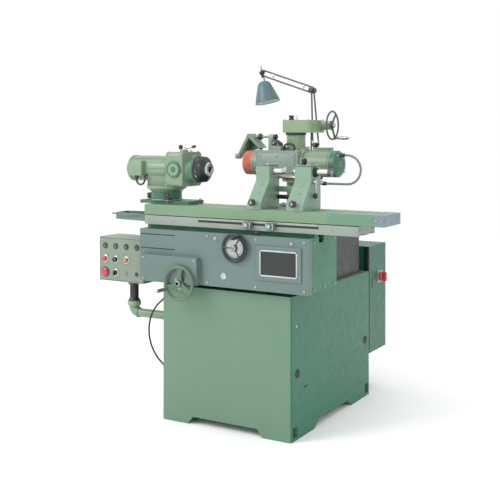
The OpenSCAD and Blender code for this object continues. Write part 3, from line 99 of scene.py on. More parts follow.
class Coat:
    """A material being made: its node tree, its shader and its object coordinates."""

    def __init__(self, name, roughness, metallic=0.0, ior=1.5, coat=0.0):
        self.material = bpy.data.materials.new(name)
        self.material.use_nodes = True
        self.tree = self.material.node_tree
        self.shader = self.tree.nodes["Principled BSDF"]
        self.feed(self.shader, Roughness=roughness, Metallic=metallic, IOR=ior, Coat_Weight=coat)
        self.place = self.node("TexCoord").outputs["Object"]

    def feed(self, node, **inputs):
        """Gives a node its inputs, by name or by _number: a value, a hex colour, or another node's output."""
        for name, value in inputs.items():
            socket = node.inputs[int(name[1:]) if name[1:].isdigit() else name.replace("_", " ")]
            if isinstance(value, bpy.types.NodeSocket):
                self.tree.links.new(value, socket)
            else:
                socket.default_value = linear(value) if isinstance(value, str) else value

    def node(self, kind, settings=None, **inputs):
        node = self.tree.nodes.new("ShaderNode" + kind)
        for name, value in (settings or {}).items():
            setattr(node, name, value)
        self.feed(node, **inputs)
        return node

    def math(self, operation, *values):
        inputs = {f"_{i}": value for i, value in enumerate(values)}
        return self.node("Math", {"operation": operation}, **inputs).outputs[0]

    def mix(self, factor, first, second):
        """One colour over another by a factor."""
        return self.node("Mix", {"data_type": "RGBA"}, _0=factor, _6=first, _7=second).outputs[2]

    def ramp(self, value, start, end, low=0.0, high=1.0):
        """A value from start to end, laid out between low and high."""
        return self.node("MapRange", Value=value, From_Min=start, From_Max=end, To_Min=low,
                         To_Max=high).outputs["Result"]

    def noise(self, size_mm, detail, share=0.5, place=None):
        return self.node("TexNoise", Vector=place or self.place, Scale=1 / (size_mm * MM), Detail=detail,
                         Roughness=share).outputs["Fac"]

    def drift(self, size_mm, low, high, detail=3.0, share=0.5):
        """A noise of that size, between two values."""
        return self.ramp(self.noise(size_mm, detail, share), 0.3, 0.7, low, high)

    def soft_normal(self, radius_mm):
        """The normal, rounded over edges."""
        return self.node("Bevel", {"samples": 4}, Radius=radius_mm * MM).outputs[0]

    def rubbed(self, soft):
        """Where a rounded normal leaves the real one, at edges: 0 on flats, rising to 1 at a sharp edge."""
        real = self.node("NewGeometry").outputs["Normal"]
        dot = self.node("VectorMath", {"operation": "DOT_PRODUCT"}, _0=soft, _1=real)
        return self.ramp(dot.outputs["Value"], 0.97, 0.8)

    def finish(self, colour, roughness=None, relief=None, strength=0.0, depth_mm=1.0, soft=None):
        """Gives the shader its colour, roughness and small bumps, and hands the material back."""
        self.feed(self.shader, Base_Color=colour)
        if roughness:
            self.feed(self.shader, Roughness=roughness)
        if relief:
            bump = self.node("Bump", Height=relief, Strength=strength, Distance=depth_mm * MM)
            if soft:
                self.feed(bump, Normal=soft)
            self.feed(self.shader, Normal=bump.outputs["Normal"])
        return self.material


def enamel(name, body, shade, dirt="#4F564C", side=None, cast=True, bands=()):
    """Machine enamel, brushed or sprayed on filled cast iron: an even satin with a faint orange peel.
    The eye sees slow drifts of tone, soft edges with paler rubbed paint, and small stains.
    Given a side colour, faces turned along X take it: painted shade on the sides, with a teal tint that is two-tone
    paint."""
    paint = Coat(name, 0.42, coat=0.12)
    paint.feed(paint.shader, Coat_Roughness=0.3)
    tone = paint.mix(paint.drift(240, 0.0, 1.0, 2.0), body, shade)
    # Faces turned along X take the side colour: painted shade on the sides, partly also a darker teal paint.
    if side:
        way = paint.node("SeparateXYZ", Vector=paint.node("NewGeometry").outputs["Normal"])
        tone = paint.mix(paint.ramp(paint.math("ABSOLUTE", way.outputs["X"]), 0.35, 0.8), tone, side)
    for axis, start, end, colour in bands:
        spot = paint.node("SeparateXYZ", Vector=paint.place).outputs[axis]
        inside = paint.math("MULTIPLY", paint.math("GREATER_THAN", spot, start * MM),
                            paint.math("LESS_THAN", spot, end * MM))
        tone = paint.mix(inside, tone, colour)
    tone = paint.mix(paint.drift(60, 0.0, 0.1, 6.0, 0.65), tone, dirt)
    soft = paint.soft_normal(1.6 if cast else 0.8)
    worn = paint.math("MULTIPLY", paint.rubbed(soft), paint.drift(14, 0.0, 0.55, 5.0, 0.7))
    pale = [min(1.0, c * 1.35 + 0.04) for c in linear(body)[:3]] + [1.0]
    swell, peel = paint.noise(70, 1.0), paint.noise(2.4, 1.0)
    relief = paint.math("MULTIPLY_ADD", swell, 4.0 if cast else 1.0, peel)
    return paint.finish(paint.mix(worn, tone, pale), paint.drift(35, 0.36, 0.5), relief, 0.25, 0.4, soft)


def bright_steel(name, tint, grain, roughness):
    """Steel, turned or surface ground: bright, with fine lay lines along one way and a trace of oil film."""
    metal = Coat(name, roughness, metallic=1.0)
    stretched = metal.node("Mapping", Vector=metal.place, Scale=grain).outputs["Vector"]
    lay = metal.noise(1.5, 4.0, place=stretched)
    film = metal.mix(metal.drift(40, 0.0, 0.35), tint, "#8C877B")
    return metal.finish(film, metal.ramp(lay, 0.0, 1.0, roughness - 0.08, roughness + 0.12), lay, 0.15, 0.1,
                        metal.soft_normal(0.5))


def plastic(name, colour, roughness, depth=0.0):
    """Phenolic or ABS, moulded in a polished tool: an even gloss, a very slight ripple and a little dust."""
    moulding = Coat(name, roughness, ior=1.54, coat=depth)
    dusty = moulding.mix(moulding.drift(9, 0.0, 0.1, 5.0, 0.7), colour, "#8F8F88")
    return moulding.finish(dusty, moulding.drift(12, roughness - 0.05, roughness + 0.1),
                           moulding.noise(6, 1.0), 0.1, 0.2, moulding.soft_normal(0.8))


def soft_rubber(name, colour):
    """Oil-proof rubber and coated cloth: matt black, greyed by dust, with a fine cloth grain."""
    rubber = Coat(name, 0.72, ior=1.52)
    dusty = rubber.mix(rubber.drift(25, 0.0, 0.14, 6.0, 0.6), colour, "#4A4B48")
    return rubber.finish(dusty, rubber.drift(20, 0.62, 0.85), rubber.noise(1.2, 2.0), 0.3, 0.3)


def bonded_abrasive(name):
    """Pink aluminium oxide in a vitrified bond: open grains of about 0.25 mm, drawn at 1.2 mm to show."""
    grains = Coat(name, 0.9, ior=1.6)
    grit = grains.node("TexVoronoi", Vector=grains.place, Scale=1 / (1.2 * MM)).outputs["Distance"]
    tone = grains.mix(grains.ramp(grit, 0.0, 0.8), "#CF6A54", "#A34432")
    tone = grains.mix(grains.drift(30, 0.0, 0.35), tone, "#EFA48F")
    return grains.finish(tone, None, grit, 0.6, 0.6)


def frosted_glass(name):
    """An acid-frosted lamp bulb: milky, with a soft sheen."""
    glass = Coat(name, 0.35)
    glass.feed(glass.shader, Subsurface_Weight=0.2)
    return glass.finish(glass.mix(glass.drift(15, 0.0, 0.3), "#F2F0E8", "#DEDDD4"))


# The base cabinet's sides are darker teal by face direction: painted shade, partly two-tone paint.
base_enamel_and_side_shade = enamel("base_cabinet_enamel_and_side_shade", "#5C7F67", "#607F69", side="#0F644C")
green_enamel = enamel("pale_green_enamel", "#778E75", "#718870")
tail_enamel = enamel("tailstock_enamel", "#7A9984", "#74927D")
column_enamel = enamel("column_enamel", "#859D79", "#7F9774", bands=(("Z", 1210.5, 1222.5, "#1B2022"),))
head_enamel = enamel("wheel_head_enamel", "#84948A", "#7E8E84")
dark_enamel = enamel("dark_green_enamel", "#356D53", "#31664E", dirt="#2C4A3E")
# The bands paint the pedestal black left and right of the column: painted deep shade beside it.
pedestal_enamel_and_shade = enamel("pedestal_enamel_and_shade", "#356D53", "#31664E", dirt="#2C4A3E",
                         bands=(("X", -400, -81, "#15191A"), ("X", 221, 400, "#15191A")))
cabinet_enamel = enamel("cabinet_enamel", "#0F5F48", "#0D5742", dirt="#2C4A3E", cast=False)
saddle_enamel = enamel("cross_slide_enamel", "#26714F", "#226A49")
apron_enamel = enamel("apron_enamel", "#5F7472", "#5A6E6A")
table_enamel = enamel("lower_table_enamel", "#8A958C", "#838E85")
plate_enamel = enamel("upper_table_enamel", "#6E8B6E", "#678467", bands=(("X", 655.8, 710, "#6C8088"),))
black_enamel = enamel("black_enamel", "#15191A", "#1B2022", dirt="#3B3E3C", cast=False)
shade_enamel = enamel("lamp_shade_enamel", "#4C6C74", "#47656D", cast=False)
lamp_enamel = enamel("lamp_arm_enamel", "#3E4744", "#454E4B", cast=False)
patch_enamel = enamel("darker_front_panel_enamel", "#5F876F", "#5A8069")
box_enamel = enamel("control_box_enamel", "#7A8779", "#738172", cast=False, bands=(("Z", 400, 558.2, "#15191A"),))
wheel_enamel = enamel("handwheel_enamel", "#526E58", "#4C6852")
white_enamel = enamel("reflector_enamel", "#D4D6D2", "#CDD0C8", cast=False)
steel = bright_steel("turned_steel", "#C4C6C4", (8, 1, 1), 0.3)
ground_steel = bright_steel("ground_steel", "#B9BCBB", (1, 8, 1), 0.38)
aluminium = bright_steel("ground_aluminium", "#A9AEAB", (1, 1, 8), 0.45)
frame_aluminium = bright_steel("brushed_frame_aluminium", "#C4C9C5", (8, 1, 1), 0.5)
black_cloth = soft_rubber("coated_cloth", "#0B0D0F")
cable_rubber = soft_rubber("cable_rubber", "#2A2E30")
sleeve_grey = soft_rubber("conduit_sleeve", "#7A8480")
phenolic = plastic("black_phenolic", "#15181A", 0.25, 0.2)
red_moulding = plastic("red_moulding", "#B8202A", 0.3, 0.3)
amber_moulding = plastic("amber_moulding", "#B0763C", 0.3, 0.3)
green_lens = plastic("green_lens", "#24453A", 0.15, 0.5)
pink_abrasive = bonded_abrasive("pink_abrasive")
bulb_glass = frosted_glass("frosted_bulb_glass")

finishes = (
    (base_enamel_and_side_shade, "base_cabinet"),
    (cable_rubber, "lifting_plugs motor_cable side_cable"),
    (cabinet_enamel, "electrical_cabinet cabinet_door"),
    (red_moulding, "isolator_switch push_button_left emergency_stop"),
    (pedestal_enamel_and_shade, "pedestal"),
    (column_enamel, "column top_arm"),
    (steel, "elevating_screw cross_screw table_pinion left_centre quill work_spindle wheel_spindle"),
    (black_enamel, "elevating_handwheel blank_plate table_handwheel spindle_nose"),
    (saddle_enamel, "saddle"),
    (apron_enamel, "apron cross_handwheel trip_dogs end_tray"),
    (black_cloth, "way_bellows"),
    (phenolic, "stop_plunger tailstock_knobs quill_lever workhead_nuts clamp_lever index_plunger "
               "push_button_middle selector_switch"),
    (table_enamel, "lower_table"),
    (ground_steel, "table_rack lift_sleeve"),
    (plate_enamel, "upper_table"),
    (tail_enamel, "left_tailstock right_tailstock"),
    (dark_enamel, "workhead_base motor_cover"),
    (green_enamel, "workhead_housing workhead_motor wheel_motor wheel_guard elbow_pipe"),
    (head_enamel, "wheelhead"),
    (pink_abrasive, "grinding_wheel"),
    (lamp_enamel, "lamp_post lamp_lower_arm lamp_upper_arm"),
    (shade_enamel, "lamp_shade"),
    (bulb_glass, "lamp_bulb"),
    (box_enamel, "control_box"),
    (green_lens, "control_lamps"),
    (amber_moulding, "push_button_right"),
)
for finish, names in finishes:
    for name in names.split():
        mesh = nodes[name].data
        mesh.materials.clear()
        mesh.materials.append(finish)


# Making of the pieces

class Piece:
    """Solids measured in millimetres, gathered in one mesh that rides on one body."""

    def __init__(self, name, body, *finishes):
        self.name, self.body, self.finishes = name, body, finishes
        self.mesh = bmesh.new()
        self.place = Matrix()

    def add(self, solid, finish=0):
        bmesh.ops.recalc_face_normals(solid, faces=solid.faces[:])
        for face in solid.faces:
            face.material_index = finish
            face.smooth = True
        solid.transform(self.place)
        part = bpy.data.meshes.new("part")
        solid.to_mesh(part)
        solid.free()
        self.mesh.from_mesh(part)
        bpy.data.meshes.remove(part)

    def block(self, low, high, edge=1.5, finish=0, steps=2):
        """A block with rounded edges."""
        solid = bmesh.new()
        bmesh.ops.create_cube(solid, size=1)
        for spot in solid.verts:
            spot.co = [(a + b) / 2 + c * (b - a) for a, b, c in zip(low, high, spot.co)]
        bmesh.ops.bevel(solid, geom=solid.edges[:], offset=edge, segments=steps, profile=0.5, affect="EDGES")
        self.add(solid, finish)

    def turned(self, at, axis, profile, finish=0, steps=48, closed=False):
        """A profile of (along, radius) pairs turned round an axis through a point."""
        solid = bmesh.new()
        rings = []
        for along, radius in profile:
            if radius < 0.001:
                rings.append([solid.verts.new((0, 0, along))])
                continue
            rings.append([solid.verts.new((radius * c, radius * s, along)) for c, s in round_about(steps)])
        pairs = list(zip(rings, rings[1:])) + ([(rings[-1], rings[0])] if closed else [])
        for one, two in pairs:
            for i in range(steps):
                j = (i + 1) % steps
                corners = [one[i % len(one)], one[j % len(one)], two[j % len(two)], two[i % len(two)]]
                corners = list(dict.fromkeys(corners))
                if len(corners) > 2:
                    solid.faces.new(corners)
        if not closed:
            for end in (rings[0], rings[-1]):
                if len(end) > 1:
                    solid.faces.new(end)
        solid.transform(facing(at, axis))
        self.add(solid, finish)

    def ring(self, at, axis, profile, finish=0, steps=48):
        """A ring: its profile closes on itself."""
        self.turned(at, axis, profile, finish, steps, closed=True)

    def spun(self, profile, finish=0, steps=48, closed=False):
        """A profile turned round the upright of the piece's own place."""
        self.turned((0, 0, 0), UP, profile, finish, steps, closed)

    def plate(self, outline, axis, start, end, edge=0.8, finish=0):
        """An outline, drawn in the two other axes in their order, pushed along an axis."""
        spots = {"X": lambda a, b, c: (c, a, b), "Y": lambda a, b, c: (a, c, b), "Z": lambda a, b, c: (a, b, c)}[axis]
        solid = bmesh.new()
        face = solid.faces.new([solid.verts.new(spots(a, b, start)) for a, b in outline])
        made = bmesh.ops.extrude_face_region(solid, geom=[face])["geom"]
        raised = [g for g in made if isinstance(g, bmesh.types.BMVert)]
        for spot in raised:
            spot.co += Vector(spots(0, 0, end - start))
        bmesh.ops.recalc_face_normals(solid, faces=solid.faces[:])
        level = {spot: spot in raised for spot in solid.verts}
        rims = [e for e in solid.edges if level[e.verts[0]] == level[e.verts[1]]]
        bmesh.ops.bevel(solid, geom=rims, offset=edge, segments=2, profile=0.5, affect="EDGES")
        self.add(solid, finish)

    def tube(self, route, radius, finish=0, steps=14):
        """A round bar along a route, with its ends rounded. Radius is one number or one for each point."""
        route = [Vector(p) for p in route]
        radii = list(radius) if isinstance(radius, (list, tuple)) else [radius] * len(route)
        ways = [(b - a).normalized() for a, b in zip(route, route[1:])]
        ways = [ways[0]] + [(a + b).normalized() for a, b in zip(ways, ways[1:])] + [ways[-1]]
        first, last = radii[0], radii[-1]
        route = [route[0] - ways[0] * first * 0.25, *route, route[-1] + ways[-1] * last * 0.25]
        radii = [first * 0.7, *radii, last * 0.7]
        ways = [ways[0], *ways, ways[-1]]
        solid = bmesh.new()
        side = ways[0].orthogonal().normalized()
        rings = []
        for spot, way, size in zip(route, ways, radii):
            side = (side - way * side.dot(way)).normalized()
            up = way.cross(side)
            rings.append([solid.verts.new(spot + (side * c + up * s) * size) for c, s in round_about(steps)])
        for one, two in zip(rings, rings[1:]):
            for i in range(steps):
                j = (i + 1) % steps
                solid.faces.new((one[i], one[j], two[j], two[i]))
        solid.faces.new(rings[0])
        solid.faces.new(rings[-1])
        self.add(solid, finish)

    def screw(self, at, axis, radius=4, rise=4, finish=0):
        """A socket-head screw, standing out along an axis."""
        profile = [(-0.6, radius), (rise * 0.8, radius), (rise, radius * 0.85), (rise, radius * 0.5),
                   (rise * 0.4, radius * 0.48), (rise * 0.4, 0)]
        self.turned(at, axis, profile, finish, 18)

    def screws(self, xs, ys, zs, axis, radius, rise, finish):
        """A screw at every combination of those x, y and z."""
        for spot in itertools.product(xs, ys, zs):
            self.screw(spot, axis, radius, rise, finish)

    def bolts(self, at, axis, circle, count, start, radius, rise, finish):
        """Screws evenly round a circle about an axis, upright or along X, from a start in degrees."""
        x, y, z = at
        for c, s in round_about(count, start):
            spot = (x + circle * c, y + circle * s, z) if axis == UP else (x, y + circle * c, z + circle * s)
            self.screw(spot, axis, radius, rise, finish)

    def ribs(self, at, turns, low, high, edge, finish, steps=2):
        """The same block at several turns about X, then back to the piece's own place."""
        for turn in turns:
            self.place = stand(at, turn, "X")
            self.block(low, high, edge, finish, steps)
        self.place = Matrix()

    def edging(self, low, high, wide, edge, finish, steps=2):
        """Four strips along the edges of an upright rectangle."""
        (x0, y0, z0), (x1, y1, z1) = low, high
        for left, under, right, over in ((x0, z0, x1, z0 + wide), (x0, z1 - wide, x1, z1),
                                         (x0, z0, x0 + wide, z1), (x1 - wide, z0, x1, z1)):
            self.block((left, y0, under), (right, y1, over), edge, finish, steps)

    def band(self, at, axis, start, wide, radii, finish=0, steps=64):
        """A raised band round a turned part: its inner radius, the radius of its edges and of its top."""
        inner, edge, top = radii
        end = start + wide
        self.ring(at, axis, [(start, inner), (start, edge), (start + 1, top), (end - 1, top), (end, edge),
                             (end, inner)], finish, steps)

    def done(self, *stands_for, slot):
        """Makes the object, in metres, and lets it ride on its body."""
        self.mesh.transform(Matrix.Scale(MM, 4))
        mesh = bpy.data.meshes.new(self.name)
        self.mesh.to_mesh(mesh)
        self.mesh.free()
        mesh.set_sharp_from_angle(angle=radians(35))
        for finish in self.finishes:
            mesh.materials.append(finish)
        thing = put(self.name, mesh)
        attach(thing, self.body)
        if stands_for:
            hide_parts(*stands_for)


def stand(spot, turn=0, axis="Z"):
    """The place of a part: a spot, and a turn in degrees about an axis there."""
    return Matrix.Translation(spot) @ Matrix.Rotation(radians(turn), 4, axis)


def facing(spot, axis):
    """A place whose Z runs along an axis."""
    return Matrix.Translation(spot) @ Vector(axis).to_track_quat("Z", "Y").to_matrix().to_4x4()


def sweep(count, start, end):
    """Cosine and sine of evenly spaced angles from a start to an end in degrees, both among them."""
    turns = [radians(start + (end - start) * i / count) for i in range(count + 1)]
    return [(cos(t), sin(t)) for t in turns]


def round_about(count, start=0):
    """The same, once round a circle."""
    return sweep(count, start, start + 360)[:-1]


def lobes(count, inner, outer, steps=6):
    """The outline of a fluted knob: that many round lobes between two radii, about the origin."""
    middle, swing = (outer + inner) / 2, (outer - inner) / 2
    waves = [middle + swing * cos(2 * pi * i / steps) for i in range(count * steps)]
    return [(radius * c, radius * s) for radius, (c, s) in zip(waves, round_about(count * steps))]


def knurled(piece, at, axis, radius, start, end, teeth=40, depth=0.9, finish=0):
    """A straight-knurled ring round an axis."""
    kept = piece.place.copy()
    piece.place = kept @ facing(at, axis)
    piece.plate(lobes(teeth, radius - depth, radius, 4), "Z", start, end, 0.7, finish)
    piece.place = kept


# The two cords: the motor's lead and the cable on the cabinet's left side

def lay_cord(name, body, route, radius, finish, node, slot, **facts):
    """A cord along a smooth route in millimetres, as a curve of one open spline."""
    curve = bpy.data.curves.new(name, "CURVE")
    curve.dimensions = "3D"
    spline = curve.splines.new("NURBS")
    spline.points.add(len(route) - 1)
    for point, spot in zip(spline.points, route):
        point.co = (*(c * MM for c in spot), 1)
    spline.use_endpoint_u = True
    spline.order_u = 4
    spline.resolution_u = 4
    curve.bevel_depth = radius * MM
    curve.bevel_resolution = 5
    curve.materials.append(finish)
    cord = put(name, curve)
    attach(cord, body)
    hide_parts(node)


def motor_lead():
    x0, z_top, turn_r, mid_x = 344, 1125.5, 62, 374
    loop = [(mid_x + turn_r * s, 0, z_top - turn_r + turn_r * c) for c, s in sweep(16, 0, 180)]
    route = [(x0, 0, z_top), (x0 + 10, 0, z_top), (x0 + 20, 0, z_top), *loop,
             *((x, 0, z_top - 2 * turn_r) for x in (352, 330, 308, 286, 268))]
    lay_cord("motor_lead", "head", route, 5, sleeve_grey, "motor_cable", "grey_paint",
             exit=(x0 * MM, 0, z_top * MM), length=0.331, far_end="object", stiffness="stiff", lay="loose")
    fittings = Piece("motor_lead_fittings", "head", steel, phenolic)
    fittings.turned((x0, 0, z_top), RIGHT,
                    [(-1, 10), (7, 10), (8, 9), (8, 8), (16, 8), (20, 6), (20, 5.2), (-1, 5.2)], 1, 24)
    low = z_top - 2 * turn_r
    fittings.turned((268, 0, low), LEFT, [(-8, 5.2), (-8, 7.5), (0, 8.5), (8, 8.5)], 1, 24)
    bend = [(247 + 13 * (1 - s), 0, low + 13 * (1 - c)) for c, s in sweep(8, 0, 90)]
    fittings.tube([(262, 0, low), *bend, (247, 0, 1026)], 8)
    fittings.turned((247, 0, 1020), UP, [(0, 9), (1, 11), (8, 11), (10, 12), (13, 12)], 1, 6)
    fittings.done(slot="steel")


def side_lead():
    half, out, wall, y, low, high = 149, 94, -310, -365, 215, 513
    bend = (half * half + out * out) / (2 * out)
    turn = degrees(asin(half / bend) - asin(6 / bend))
    mid_x = wall - out + bend
    arc = [(mid_x - bend * c, y, (low + high) / 2 + bend * s) for c, s in sweep(24, turn, -turn)]
    lay_cord("side_lead", "base", arc, 4, cable_rubber, "side_cable", "black_rubber",
             exit=tuple(c * MM for c in arc[0]), length=0.360, far_end="object", stiffness="medium", lay="hanging")
    glands = Piece("side_lead_glands", "base", phenolic)
    for end, nearer in ((arc[0], arc[1]), (arc[-1], arc[-2])):
        way = (Vector(nearer) - Vector(end)).normalized()
        glands.turned(end, way, [(-6, 8), (0, 8), (8, 6.5), (22, 4.6), (22, 4.05), (-6, 4.05)], 0, 24)
    for z in (low, high):
        glands.turned((wall, y, z), LEFT, [(0, 11), (1.5, 12.5), (7, 12.5), (8, 11.5)], 0, 6)
        glands.turned((wall - 8, y, z), LEFT, [(-1, 9), (3, 9), (5, 7.5)], 0, 24)
    glands.done(slot="black_plastic")


motor_lead()
side_lead()


# Studio: a pale floor and soft light from the front left

def light_studio():
    floor_mesh = bpy.data.meshes.new("floor")
    floor_mesh.from_pydata([(-9, -7, 0), (9, -7, 0), (9, 11, 0), (-9, 11, 0)], [], [(0, 1, 2, 3)])
    white = Coat("floor_paint", 0.9)
    floor_mesh.materials.append(white.finish(white.mix(white.drift(900, 0.0, 1.0), "#FFFFFF", "#FDFDFD")))
    floor = put("floor", floor_mesh)
    world = bpy.data.worlds.new("studio")
    bpy.context.scene.world = world
    world.use_nodes = True
    sky = world.node_tree.nodes["Background"].inputs
    sky["Color"].default_value = (1, 1, 1, 1)
    sky["Strength"].default_value = 1.0
    for name, place, target, size, power in (
            ("key", (-2.6, -3.6, 3.6), (0, -0.2, 0.7), 2.4, 150), ("fill", (3.4, -2.2, 1.6), (0.2, 0, 0.7), 2.6, 18),
            ("top", (0.2, 1.2, 4.2), (0, 0, 0.8), 3.0, 24)):
        light = bpy.data.lights.new(name, "AREA")
        light.size = size
        light.energy = power
        holder = put(name, light)
        holder.location = place
        holder.rotation_euler = (Vector(target) - Vector(place)).to_track_quat("-Z", "Y").to_euler()
    bpy.context.scene.view_settings.view_transform = "Standard"


light_studio()


# Handwheels

def handwheel(name, body, node, hub_face, way, grip_turn, rim, thick, finishes, web=None, dial=None):
    """A handwheel whose hub starts at hub_face and grows along way. Its finishes: rim, spokes and hub,
    bright parts, grip, and with a dial its face and its marks."""
    wheel = Piece(name, body, *finishes)
    place = wheel.place = stand(hub_face) @ way
    middle = rim - thick
    flatness = 0.85
    wheel.ring((0, 0, 13), UP, [(thick * flatness * s, middle + thick * c) for c, s in round_about(20)], 0, 80)
    wheel.spun([(0, 15), (1, 16.5), (7, 16.5), (8, 15), (12, 14.5), (18, 13), (21, 12.5), (22, 11.5), (22, 6)], 1, 40)
    for c, s in round_about(3, grip_turn):
        out = Vector((c, s, 0))
        if web:
            side = Vector((-out.y, out.x, 0))
            spots = [(13, web), (middle * 0.5, web * 0.72), (middle, web)]
            outline = [out * a + side * b for a, b in spots + [(a, -b) for a, b in reversed(spots)]]
            wheel.plate([(p.x, p.y) for p in outline], "Z", 8, 15, 2.2, 1)
        else:
            wheel.tube([out * 12 + Vector((0, 0, 9)), out * (middle * 0.55) + Vector((0, 0, 11)),
                        out * (middle - 2) + Vector((0, 0, 13))], [6, 4.4, 4.8], 1, 12)
    seat = Vector((middle * cos(radians(grip_turn)), middle * sin(radians(grip_turn)), 13))
    wheel.turned(seat, UP, [(-thick - 1.5, 0), (-thick - 1.5, 4), (-thick, 5), (0, 7), (thick + 1, 7.5),
                            (thick + 2, 6.5), (thick + 2, 4)], 1, 24)
    wheel.turned(seat, UP, [(thick, 4), (10.6, 4.2), (10.6, 5.2), (12, 6), (18, 6.4), (32, 8), (52, 8.1),
                            (66, 7.2), (70.5, 5.6), (72.3, 3), (72.3, 0)], 3, 28)
    wheel.turned((0, 0, 22), UP, [(-1, 10.5), (1, 10.5), (1.6, 9.8)], 2, 32)
    wheel.turned((0, 0, 23), UP, [(0, 9), (2.4, 9), (3, 8)], 2, 6)
    if dial:
        radius, deep, marks = dial
        wheel.spun([(0.2, radius - 0.5), (1, radius), (deep - 1, radius), (deep, radius - 1.2), (deep, 15)], 4, 80)
        for i in range(marks):
            tall = 6 if i % 5 else 9
            wheel.place = place @ stand((0, 0, 0), 360 * i / marks)
            wheel.block((radius - 2 - tall, -0.35, deep - 0.2), (radius - 2, 0.35, deep + 0.25), 0.1, 5, 1)
    wheel.done(node, slot="steel")


front_way = stand((0, 0, 0), 90, "X")
handwheel("cross_feed_handwheel", "cross_feed", "cross_handwheel", (-175, -456.3, 600), front_way, 205, 74, 7,
          (wheel_enamel, wheel_enamel, steel, steel), web=14)
handwheel("table_feed_handwheel", "table_drive", "table_handwheel", (79, -430.3, 759.1), front_way, 60, 60, 6,
          (black_enamel, phenolic, steel, phenolic, aluminium, black_enamel), dial=(40, 14, 60))
handwheel("elevating_wheel", "lift_wheel", "elevating_handwheel", (204.3, 185, 1255),
          stand((0, 0, 0), 90, "Y"), 25, 68, 4.6, (lamp_enamel, lamp_enamel, steel, steel))


def shafts_behind_wheels():
    """The elevating wheel's shaft with its bevel pinion, and a dial ring on the arm's hub."""
    arm = (70, 185, 1255)
    shaft = Piece("elevating_shaft", "lift_wheel", steel)
    shaft.turned(arm, RIGHT, [(15.6, 8), (17, 8), (160, 8), (160.3, 7)], 0, 40)
    shaft.turned(arm, RIGHT, [(15.6, 14), (17, 15), (82, 15), (83, 14), (83, 8)], 0, 40)
    for i in range(15):
        shaft.place = stand(LIFT_SHAFT, 24 * i, "X") @ stand((0, -185, -1255))
        shaft.plate([(77.8, 1261.3), (85.5, 1268.7), (85.5, 1270.4), (77.8, 1263)], "Y", 184, 186, 0.3)
    shaft.place = Matrix()
    shaft.turned(arm, RIGHT, [(7.8, 6.2), (15.6, 13.4)], 0, 40)
    shaft.done(slot="steel")
    ring = Piece("elevating_dial", "lift_wheel", aluminium, black_enamel)
    ring.turned((204, 185, 1255), RIGHT, [(0.6, 20), (1.2, 21), (6.4, 21), (7, 20), (7, 12)], 0, 60)
    for i in range(40):
        ring.place = stand(LIFT_SHAFT, 9 * i, "X")
        ring.block((206, -0.3, 20.6), (210.2 if i % 5 else 211, 0.3, 21.2), 0.1, 1, 1)
    ring.done(slot="steel")


shafts_behind_wheels()


# Lamp

